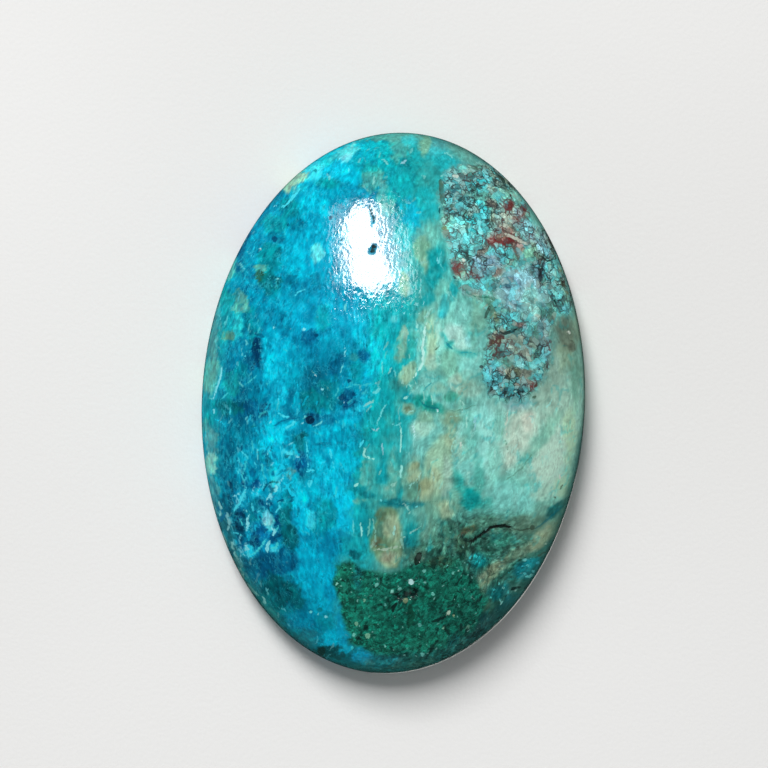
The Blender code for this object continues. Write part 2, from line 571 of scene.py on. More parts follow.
    # turquoise and sage along the top right
    (400, 150, 10, 16, 0, .7, SAGE, .75),
    (409, 142, 8, 6, 0, .6, LAGOON, .7),
    (425, 145, 5, 11, 10, .6, LEAF_SAGE, .9),
    (405, 165, 6, 7, 0, .6, TEAL, .75),
    (400, 186, 12, 16, 10, .7, TURQUOISE, .75),
    (425, 175, 14, 16, 0, .7, VERDIGRIS, .85),
    (445, 160, 14, 10, 0, .7, TURQUOISE, .85),
    (462, 155, 18, 8, 30, .6, SAGE, .85),
    (436, 152, 6, 5, 0, .6, LAGOON, .65),
    (425, 208, 14, 18, 0, .8, TURQUOISE, .85),
    (411, 215, 10, 16, 0, .7, CYAN, .85),
    (406, 237, 10, 13, 0, .7, LAGOON, .75),
    (430, 235, 8, 14, 0, .7, CELADON, .85),
    (422, 250, 8, 16, 0, .6, LEAF_SAGE, .9),
    (427, 266, 5, 8, -15, .8, (134, 180, 150), .7),
    (418, 290, 10, 14, 0, .7, VERDIGRIS, .75),
    (437, 262, 9, 15, 0, .6, (6, 146, 152), .95),
    (435, 280, 9, 11, 0, .7, (8, 148, 154), .9),
    (426, 298, 10, 6, -25, .6, SEA, .85),
    (404, 284, 4.5, 13, 0, .4, (126, 184, 152), .97),
    (444, 291, 9, 11, 25, .6, CELADON, .9),
    (456, 285, 5, 14, 20, .6, SEA, .9),
    (444, 306, 5, 12, 14, .7, (50, 172, 176), .85),
    (443, 314, 4, 4, 0, .6, (40, 166, 176), .7),
    (410, 303, 10, 6, 0, .7, VERDIGRIS, .75),
    (405, 311, 14, 4, 0, .6, SEA, .75),
    (395, 319, 6, 5, 0, .6, AQUA, .65),
    # the cream and leaf-green lenses right of the blue side
    (402, 384, 13, 84, 4, .9, (18, 164, 170), .75),
    (401, 346, 6, 18, 10, .4, MEADOW, .95),
    (404, 334, 4, 5, 0, .6, SAND, .7),
    (411, 346, 4, 15, 10, .8, (50, 164, 156), .7),
    (408, 374, 6.5, 14, 32, .4, TEA_GREEN, .95),
    (414, 366, 3, 4, 0, .6, FERN, .6),
    (421, 348, 3, 22, 3, .7, MIST, .7),
    (425, 317, 8, 6, -30, .6, MEADOW, .85),
    (432, 337, 6.5, 19, 3, .5, TEA_GREEN, .95),
    (431, 361, 7.5, 10, 0, .5, (156, 194, 168), .8),
    (431, 362, 7, 8, 0, .6, SAND, .6),
    (440, 332, 4, 12, -12, .7, PALE_MINT, .7),
    (456, 334, 10, 11, 0, .6, (160, 208, 198), .95),
    (461, 341, 8, 8, -20, .6, (158, 206, 194), .9),
    (468, 341, 3, 6, 0, .6, FROST, .4),
    (443, 316, 4, 4, 0, .7, (50, 170, 176), .6),
    (463, 312, 12, 12, 0, .8, MIST, .85),
    (478, 308, 6, 28, 0, .7, MEADOW, .7),
    (482, 345, 5, 14, 0, .7, MIST, .8),
    (445, 341, 3, 8, -20, .7, (60, 178, 172), .8),
    (451, 346, 6, 3, -50, .7, (44, 168, 160), .9),
    (466, 353, 12, 3, 2, .8, (62, 176, 168), .75),
    (449, 366, 9, 16, 0, .7, MEADOW, .8),
    (470, 366, 11, 12, 0, .7, FOAM, .45),
    (468, 370, 10, 10, 0, .8, MIST, .6),
    (428, 381, 9, 8, 0, .6, MIST, .9),
    (416, 391, 5, 6, 30, .6, MIST, .8),
    (436, 393, 8, 9, 0, .7, MIST, .85),
    (428, 400, 9, 6, 0, .7, MIST, .7),
    (456, 383, 9, 9, 0, .5, SAND, .9),
    (470, 390, 12, 11, 0, .7, SAND, .7),
    (451, 396, 7, 6, 0, .5, JADE, .85),
    (458, 405, 16, 6, -8, .7, SAGE, .6),
    (403, 392, 9, 7, 0, .6, (4, 146, 158), .95),
    (397, 384, 7, 7, 0, .6, DEEP_TEAL, .8),
    (418, 398, 6, 5, -40, .7, GREEN_TEAL, .85),
    (426, 403, 9, 3.4, -50, .7, GREEN_TEAL, .85),
    (430, 406, 15, 5.5, 14, .8, GREEN_TEAL, .85),
    (443, 411, 6, 3, 12, .7, GREEN_TEAL, .7),
    (408, 409, 6, 8, 0, .4, MEADOW, .97),
    (408, 410, 3, 4.5, 0, .6, OLIVE, .7),
    (424, 416, 8, 7, 0, .6, MEADOW, .8),
    (452, 419, 11, 8, 0, .6, MEADOW, .9),
    (452, 420, 7, 5, 0, .7, KHAKI, .45),
    (421, 430, 9, 9, 0, .6, PALE_MINT, .8),
    (428, 428, 6, 6, 0, .6, FOAM, .5),
    # mint, cream and sage down the right
    (460, 440, 4, 14, 0, .6, PALE_MINT, .7),
    (470, 436, 9, 26, 0, .7, CELADON, .8),
    (466, 468, 9, 14, 0, .7, MIST, .85),
    (484, 414, 10, 9, 0, .7, FOAM, .6),
    (487, 440, 9, 34, 0, .6, FOAM, .62),
    (493, 462, 7, 22, 0, .7, MINT, .8),
    (497, 425, 7, 14, 0, .6, MINT, .75),
    (518, 404, 15, 7, 0, .8, DUSK, .35),
    (520, 430, 13, 20, 14, .5, SHELL_GREEN, .97),
    (528, 420, 6, 11, 14, .6, SHELL, .75),
    (512, 452, 8, 14, 16, .7, SHELL_GREEN, .9),
    (548, 465, 17, 26, 16, .6, CREAM_GREEN, .97),
    (558, 445, 12, 20, 12, .7, CREAM_GREEN, .9),
    (570, 432, 7, 26, 0, .7, TAN_GREEN, .85),
    (556, 405, 12, 12, 0, .7, SAGE_CREAM, .9),
    (545, 432, 7, 24, 34, .9, SOFT_SAGE, .8),
    (524, 462, 5, 18, 42, .9, (112, 176, 158), .8),
    (505, 481, 15, 6, -40, .9, (104, 178, 164), .75),
    (506, 496, 20, 13, 0, .8, MIST, .9),
    (524, 500, 14, 10, -20, .8, MIST, .75),
    (545, 492, 14, 9, -25, .7, SAGE_CREAM, .85),
    (562, 488, 8, 10, 20, .7, TAN_GREEN, .8),
    (470, 499, 9, 11, -6, .6, (4, 142, 138), .97),
    (458, 482, 5, 12, -16, .8, (40, 160, 148), .75),
    (478, 478, 5, 20, 4, .8, (70, 174, 160), .7),
    (482, 504, 9, 6, -20, .8, (50, 150, 138), .75),
    (455, 500, 5, 12, 0, .8, MEADOW, .7),
    (552, 376, 12, 26, 0, .7, SAGE_CREAM, .9),
    (566, 350, 8, 20, 0, .7, TAN_GREEN, .8),
    (576, 330, 6, 14, 0, .7, TAN_GREEN, .7),
    (550, 395, 14, 12, 0, .7, SAGE_CREAM, .85),
    (575, 380, 5, 30, 0, .7, FERN, .6),
    # the lower right
    (515, 526, 30, 8, -8, .7, LODEN, .85),
    (480, 548, 16, 14, 0, .8, PINE, .85),
    (503, 539, 12, 8, 0, .7, JADE, .6),
    (515, 549, 14, 8, -30, .7, FERN, .6),
    (455, 536, 10, 10, 0, .8, PINE, .75),
    (462, 546, 9, 7, 0, .7, MOSS, .75),
    (486, 521, 16, 6, -10, .6, FERN, .75),
    (468, 531, 9, 4, -20, .6, OLIVE, .85),
    (542, 537, 20, 7, -36, .6, (124, 138, 110), .85),
    (560, 530, 6, 11, 20, .6, KHAKI, .85),
    (520, 553, 12, 6, -35, .7, (96, 118, 96), .7),
    (490, 575, 24, 7.5, -38, .6, (118, 134, 106), .92),
    (478, 592, 9, 8, -42, .6, (88, 112, 84), .85),
    (476, 561, 9, 9, 0, .6, (0, 126, 130), .97),
    (558, 509, 17, 4.5, -42, .6, (16, 70, 68), .95),
    (555, 553, 9, 5, -38, .6, MOSS, .85),
    (527, 569, 14, 10, -25, .5, (0, 96, 106), .95),
    (535, 562, 6, 6, -20, .6, (0, 118, 130), .85),
    (499, 593, 12, 7, -20, .5, (0, 78, 82), .95),
    (513, 602, 12, 6, -35, .7, DARK_TEAL, .9),
    (536, 582, 10, 4, -50, .6, INKY_TEAL, .85),
    (480, 606, 12, 9, -30, .7, MOSS, .85),
    (478, 627, 17, 12, -33, .7, INKY_TEAL, .95),
    (502, 613, 14, 7, -38, .7, INKY_TEAL, .9),
    (471, 500, 7, 10, -4, .6, (2, 132, 132), .85),
    (222, 545, 4, 20, -20, .6, STEEL_SAGE, .6),
    (240, 582, 4, 16, -34, .6, STEEL_SAGE, .65),
    (257, 606, 4, 12, -40, .6, STEEL_SAGE, .65),
    (566, 332, 10, 17, -12, .8, (104, 118, 100), .75),
    (572, 346, 4, 5, 0, .6, (84, 92, 78), .7),
    (381, 372, 13, 66, 8, .9, (14, 170, 178), .62),
    (378, 450, 11, 60, 0, .9, (22, 168, 174), .45),
    (306, 474, 8, 9, 0, .7, (4, 130, 158), .55),
    (284, 500, 6, 12, -16, .6, (4, 176, 204), .5),
    (568, 470, 4, 40, 3, .8, (120, 150, 122), .4),
    (274, 440, 11, 20, -8, .6, (0, 198, 230), .85),
    (282, 462, 5, 14, 8, .6, (2, 196, 226), .8),
    (236, 446, 12, 26, 0, .8, (4, 146, 176), .5),
    (290, 453, 6.5, 2.8, -6, .5, (128, 234, 244), .9),
    (266, 519, 5, 6.5, 18, .5, (160, 246, 252), .95),
    (278, 478, 2.4, 9, 14, .5, (84, 222, 236), .85),
    (275, 548, 4, 4, 0, .6, (96, 224, 240), .7),
    (250, 550, 3, 7, -12, .5, (70, 214, 236), .8),
    (312, 515, 4, 8, 10, .6, (60, 222, 240), .6),
    (214, 520, 3, 22, -10, .6, (86, 134, 136), .75),
    (224, 552, 3, 20, -22, .6, (84, 136, 138), .8),
    (238, 582, 3, 16, -34, .6, (88, 138, 136), .8),
    (256, 608, 3, 14, -42, .6, (86, 136, 134), .8),
    (275, 626, 3, 12, -52, .6, (70, 122, 124), .7),
]

# The granular green patch at the foot, and what varies inside it.
GREEN_PATCH = [
    (336, 566), (350, 563), (365, 570), (380, 570), (395, 572), (405, 570),
    (420, 561), (445, 556), (458, 560), (466, 572), (478, 585), (488, 600),
    (478, 622), (462, 640), (440, 651), (410, 660), (385, 656), (365, 650),
    (350, 641), (342, 618), (337, 598), (334, 582),
]
GREEN_PARTS = [
    (342, 574, 8, 12, 0, .6, GREEN, .7),
    (358, 576, 5, 14, 0, .6, DEEP_TEAL, .7),
    (376, 567, 14, 5, 15, .6, JADE, .75),
    (441, 562, 15, 7, 0, .6, MOSS, .9),
    (430, 590, 14, 12, 0, .7, GREEN, .6),
    (425, 640, 20, 12, 0, .8, GREEN, .8),
    (442, 655, 16, 8, -15, .6, INKY_TEAL, .85),
    (405, 661, 16, 7, 0, .7, INKY_TEAL, .9),
    (455, 601, 8, 14, 0, .6, GREEN, .7),
    (456, 641, 8, 8, 0, .6, DARK_TEAL, .7),
    # painted shade: these two lie in the pits cut into the relief here
    (410, 593, 10, 6, -8, .5, BLACK_TEAL, .95),
    (399, 598, 5, 5, 0, .5, BLACK_TEAL, .8),
]

# The oval of tan stone above the green patch.
TAN_OVAL = [
    (374, 511), (385, 505), (397, 510), (402, 525), (403, 540), (401, 558),
    (396, 567), (386, 565), (376, 556), (369, 549), (368, 540), (372, 528),
]

# The brecciated patch: turquoise chips in dark and rusty veins.
BRECCIA = [
    (444, 173), (455, 167), (470, 164), (486, 165), (500, 168), (514, 176),
    (522, 186), (518, 196), (530, 207), (531, 222), (546, 228), (556, 244),
    (566, 265), (574, 292), (570, 312), (560, 318), (552, 330), (552, 352),
    (545, 376), (538, 391), (525, 401), (505, 401), (490, 396), (482, 376),
    (484, 358), (488, 345), (484, 322), (478, 300), (463, 294), (452, 278),
    (449, 262), (447, 245), (441, 225), (440, 200),
]
BRECCIA_PARTS = [
    (457, 195, 16, 26, 0, .7, STEEL_SAGE, .9),
    (481, 180, 9, 10, 0, .6, LAGOON, .95),
    (461, 240, 12, 14, 0, .6, AQUA, .95),
    (478, 218, 12, 18, 0, .6, LAGOON, .95),
    (474, 209, 6, 5, 0, .6, FOAM, .8),
    (485, 222, 4, 9, 0, .6, AQUA, .8),
    (478, 238, 9, 6, 0, .6, AQUA, .85),
    (446, 233, 4, 9, -15, .6, OLIVE, .85),
    (500, 184, 9, 12, 30, .7, CREAM, .85),
    (500, 193, 7, 8, 0, .7, CELADON, .7),
    (505, 217, 14, 16, 0, .7, SHELL_GREEN, .9),
    (502, 232, 14, 6, 0, .6, CLAY, .85),
    (500, 240, 13, 4.5, 2, .5, RED_RUST, .9),
    (520, 215, 5, 12, 25, .6, LIVER, .85),
    (509, 205, 4, 6, 0, .5, RUST, .85),
    (493, 205, 5, 5, 0, .6, BARK, .8),
    (525, 208, 3, 4, 0, .5, MAROON, .9),
    (518, 212, 4, 4, 0, .6, HAZE, .7),
    (528, 232, 7, 14, -20, .6, HAZE, .9),
    (518, 248, 6, 10, 0, .6, CLAY, .85),
    (498, 253, 11, 9, 0, .6, AQUA, .95),
    (481, 250, 9, 5, -15, .6, BARK, .85),
    (455, 268, 5, 8, 0, .5, LIVER, .9),
    (463, 262, 5, 4, 0, .5, PEARL, .7),
    (485, 265, 16, 12, 0, .7, DUSK, .85),
    (473, 271, 5, 4, 0, .5, MAROON, .85),
    (496, 274, 6, 4, 0, .5, LIVER, .85),
    (467, 273, 4, 3, 0, .5, SHELL, .8),
    (479, 286, 9, 8, 0, .5, AQUA, .97),
    (465, 286, 7, 8, 0, .7, VERDIGRIS, .7),
    (535, 255, 12, 8, 0, .7, LEAF_SAGE, .8),
    (540, 270, 8, 10, 0, .7, DUSK, .7),
    # painted sheen: these two pale patches stand in for a soft bluish reflection over this part
    (522, 290, 24, 22, 0, .7, HAZE, .95),
    (531, 303, 9, 18, 0, .6, FOAM, .9),
    (512, 284, 8, 6, 0, .6, DUSK, .7),
    (496, 285, 6, 5, 0, .6, STEEL_SAGE, .8),
    (494, 306, 9, 10, 0, .7, FERN, .85),
    (497, 316, 8, 6, -20, .6, STONE_TAN, .8),
    (509, 320, 13, 9, -25, .5, AQUA, .97),
    (522, 325, 5, 4, -20, .6, ROSE, .9),
    (521, 344, 15, 12, 0, .7, (138, 164, 148), .9),
    (499, 343, 10, 13, 0, .6, (124, 126, 112), .85),
    (520, 373, 16, 6, 0, .6, (142, 134, 120), .75),
    (498, 347, 7, 14, 0, .6, OLIVE, .85),
    (505, 345, 4, 5, 0, .5, PALE_MINT, .9),
    (506, 356, 6, 3, 0, .5, BARK, .8),
    (536, 318, 4, 5, 0, .6, SHELL, .7),
    (545, 345, 6, 16, 0, .6, (130, 188, 192), .9),
    (544, 325, 6, 8, 0, .6, HAZE, .7),
    (520, 363, 6, 6, 0, .5, AQUA, .95),
    (536, 364, 6, 6, 0, .5, FOAM, .95),
    (538, 376, 6, 6, 0, .5, AQUA, .9),
    (494, 378, 9, 16, 0, .7, (96, 190, 200), .95),
    (502, 372, 4, 4, 0, .6, ROSE, .7),
    (513, 375, 8, 8, 0, .7, KHAKI, .8),
    (525, 384, 11, 6, 0, .7, (146, 134, 124), .85),
    (511, 393, 12, 7, 0, .6, SLATE, .9),
    (536, 386, 4, 4, 0, .5, LIVER, .9),
    (545, 245, 8, 14, -15, .6, HAZE, .95),
    (553, 282, 6, 20, -10, .6, AQUA, .95),
    (566, 282, 5, 16, -15, .6, OLIVE, .9),
    (543, 270, 3, 14, 0, .6, GRAPHITE, .8),
    (565, 308, 5, 6, 0, .5, AQUA, .95),
]

# Pale filaments and scratches: (points, width, colour, strength)
FILAMENTS = [
    ([(218, 500), (221, 508), (220, 516)], 1.8, (120, 186, 186), .8),
    ([(226, 512), (229, 522), (228, 531)], 1.7, (112, 180, 186), .75),
    ([(219, 527), (224, 538), (227, 545)], 1.6, (126, 180, 176), .8),
    ([(231, 541), (234, 553), (239, 560)], 1.8, (118, 184, 184), .75),
    ([(229, 556), (235, 566), (240, 572)], 1.6, (132, 186, 176), .8),
    ([(240, 568), (243, 579), (249, 588)], 2.0, (126, 190, 184), .8),
    ([(247, 583), (252, 590), (259, 596)], 1.8, (116, 184, 180), .75),
    ([(246, 596), (254, 604), (262, 613)], 1.5, (118, 176, 170), .75),
    ([(262, 596), (266, 604)], 1.8, (126, 196, 194), .7),
    ([(268, 618), (278, 626)], 1.5, (104, 168, 168), .7),
    ([(222, 364), (221, 375), (218, 386), (213, 400)], 1.9, FROST, .95),
    ([(213, 408), (214, 414)], 2.1, FROST, .9),
    ([(233, 513), (240, 502), (243, 493), (247, 486)], 1.9, ICE, .9),
    ([(246, 531), (248, 523), (247, 516)], 2.1, FROST, .95),
    ([(241, 517), (242, 527)], 1.3, LAGOON, .8),
    ([(243, 511), (247, 511), (250, 518)], 1.4, AQUA, .85),
    ([(245, 542), (247, 549), (250, 549)], 1.8, FROST, .9),
    ([(247, 549), (249, 558)], 1.6, ICE, .85),
    ([(251, 556), (257, 551), (262, 545), (266, 539)], 1.4, LAGOON, .8),
    ([(268, 553), (267, 545), (271, 541)], 2.2, FROST, .9),
    ([(271, 549), (277, 546), (277, 541)], 1.9, LAGOON, .9),
    ([(273, 536), (275, 531), (271, 527)], 1.9, FROST, .9),
    ([(275, 531), (279, 526)], 1.4, LAGOON, .8),
    ([(275, 513), (279, 508), (280, 500)], 1.6, ICE, .8),
    ([(240, 534), (241, 562)], 1.3, (92, 172, 188), .7),
    ([(283, 482), (289, 489), (294, 495), (297, 504)], 2.4, BRIGHT_CYAN, .85),
    ([(312, 479), (309, 488)], 1.6, ICE, .8),
    ([(275, 485), (277, 492)], 2.9, FROST, .9),
    ([(252, 440), (252, 453)], 1.4, LAGOON, .7),
    ([(257, 447), (258, 460)], 1.4, AQUA, .8),
    ([(262, 463), (263, 473), (268, 482)], 1.5, LAGOON, .7),
    ([(248, 455), (245, 466), (243, 476), (242, 486)], 1.4, LAGOON, .75),
    ([(307, 440), (307, 452), (308, 462), (309, 471)], 1.4, ICE, .85),
    ([(285, 454), (294, 453)], 2.6, ICE, .9),
    ([(295, 457), (300, 457)], 1.6, FROST, .9),
    ([(284, 458), (281, 467), (276, 476)], 2.4, BRIGHT_CYAN, .7),
    ([(285, 428), (292, 425), (296, 421)], 2.7, ICE, .9),
    ([(277, 411), (282, 416), (289, 417)], 2.1, ICE, .85),
    ([(293, 377), (298, 386), (302, 391)], 1.4, BRIGHT_CYAN, .75),
    ([(278, 378), (277, 384)], 1.4, BRIGHT_CYAN, .8),
    ([(246, 384), (252, 379), (258, 374)], 1.5, LAGOON, .7),
    ([(219, 401), (224, 396), (229, 392)], 1.5, LAGOON, .75),
    ([(250, 235), (255, 241), (254, 250), (251, 258)], 1.5, BRIGHT_CYAN, .8),
    ([(247, 238), (243, 246)], 1.3, LAGOON, .7),
    ([(240, 262), (245, 269)], 1.4, AQUA, .7),
    ([(282, 208), (290, 200), (298, 192), (302, 188)], 2.4, ICE, .85),
    ([(269, 204), (273, 198), (275, 193)], 1.4, AQUA, .8),
    ([(273, 206), (277, 205)], 1.9, FROST, .85),
    ([(293, 297), (299, 292), (306, 289)], 1.3, ICE, .8),
    ([(345, 303), (346, 312)], 2.2, AQUA, .8),
    ([(345, 345), (345, 358)], 1.8, FROST, .9),
    ([(343, 362), (341, 369), (341, 377)], 1.5, AQUA, .75),
    ([(362, 332), (365, 340), (366, 348)], 2.4, BRIGHT_CYAN, .85),
    ([(370, 345), (373, 353)], 2.2, BRIGHT_CYAN, .8),
    ([(344, 387), (355, 385), (366, 384), (372, 383)], 1.4, LAGOON, .75),
    ([(339, 384), (337, 392), (336, 398)], 1.3, LAGOON, .7),
    ([(387, 404), (382, 412), (378, 420), (377, 426)], 1.8, AQUA, .85),
    ([(372, 428), (376, 431), (380, 427)], 2.0, HAZE, .85),
    ([(372, 394), (377, 391), (380, 387)], 2.2, AQUA, .8),
    ([(374, 385), (377, 382)], 1.6, HAZE, .7),
    ([(311, 427), (317, 425), (323, 421)], 1.4, AQUA, .8),
    ([(311, 370), (314, 374)], 1.5, CELADON, .7),
    ([(325, 384), (328, 388), (331, 391)], 1.4, SAGE, .7),
    ([(329, 374), (329, 380)], 1.3, AQUA, .7),
    ([(400, 425), (401, 435), (401, 445), (400, 453)], 2.0, FOAM, .92),
    ([(391, 424), (398, 425), (404, 420)], 1.5, AQUA, .7),
    ([(382, 443), (383, 455)], 1.8, HAZE, .8),
    ([(364, 447), (364, 456), (370, 458), (376, 459)], 2.1, FOAM, .85),
    ([(360, 447), (364, 440)], 2.8, ICE, .85),
    ([(330, 450), (331, 459)], 2.2, ICE, .8),
    ([(333, 460), (335, 470)], 1.4, ICE, .7),
    ([(427, 322), (424.5, 331), (423, 341), (423, 350), (423.5, 357), (421, 366), (417, 374), (413, 379)], 2.6, (196, 255, 244), .98),
    ([(416, 320), (417, 328), (419, 334)], 1.6, FOAM, .85),
    ([(418, 336), (415, 343)], 1.4, AQUA, .75),
    ([(429, 312), (427, 319)], 2.0, PALE_MINT, .8),
    ([(439, 354), (440, 362), (438, 369)], 1.5, PALE_MINT, .7),
    ([(431, 393), (433, 404)], 1.7, PALE_MINT, .7),
    ([(446, 418), (460, 415), (474, 411), (482, 408)], 1.4, MINT, .7),
    ([(413, 423), (414, 432), (417, 439)], 2.0, SNOW, .85),
    ([(451, 376), (450, 385), (452, 391)], 1.6, PALE_MINT, .7),
    ([(460, 400), (464, 404), (462, 412)], 1.4, PALE_MINT, .6),
    ([(484, 400), (484, 412)], 2.0, FOAM, .6),
    ([(508, 410), (506, 425), (507, 440)], 1.5, SHELL, .7),
    ([(461, 442), (461, 449)], 2.0, PEARL, .6),
    ([(457, 431), (457, 442)], 1.4, PALE_MINT, .7),
    ([(467, 417), (467, 428)], 1.8, PALE_MINT, .7),
    ([(475, 415), (475, 430)], 1.8, HAZE, .7),
    ([(482, 424), (481, 440)], 1.8, FOAM, .7),
    ([(495, 447), (495, 460)], 2.0, PALE_MINT, .7),
    ([(489, 436), (498, 437)], 1.6, PALE_MINT, .7),
    ([(561, 474), (559, 480)], 2.0, PEARL, .8),
    ([(361, 522), (362, 530), (361, 537)], 2.0, FOAM, .85),
    ([(369, 517), (369, 530), (367, 538)], 1.8, CELADON, .8),
    ([(401, 464), (401, 478)], 2.4, FOAM, .88),
    ([(353, 516), (353, 534)], 1.4, AQUA, .65),
    ([(354, 487), (358, 483)], 2.6, FOAM, .85),
    ([(373, 551), (384, 549), (393, 547), (402, 547)], 2.0, CREAM, .85),
    ([(401, 164), (407, 160)], 1.8, HAZE, .85),
    ([(504, 233), (512, 236), (520, 240), (528, 244)], 3.0, SHELL, .95),
    ([(516, 244), (523, 246)], 2.6, ROSE, .8),
    ([(499, 234), (504, 241)], 1.6, ROSE, .6),
    ([(459, 199), (461, 202)], 2.0, PALE_MINT, .8),
    ([(453, 176), (459, 176)], 3.0, PEARL, .85),
    ([(462, 259), (465, 262)], 3.4, PEARL, .95),
    ([(441, 250), (440, 262), (444, 272)], 1.4, AQUA, .6),
    ([(437, 257), (439, 264)], 1.8, FROST, .7),
    ([(423, 274), (428, 280), (432, 288)], 1.6, LAGOON, .3),
    ([(518, 190), (524, 196)], 1.6, CELADON, .5),
    ([(494, 170), (498, 174)], 2.0, PEARL, .9),
    ([(505, 178), (509, 183)], 3.0, CREAM, .9),
    ([(544, 234), (546, 240)], 2.4, SNOW, .8),
    ([(522, 573), (526, 576), (530, 577), (534, 574)], 2.0, (96, 220, 220), .95),
    ([(563, 306), (565, 310)], 3.0, FROST, .8),
    ([(568, 330), (570, 334)], 2.4, PEARL, .9),
]

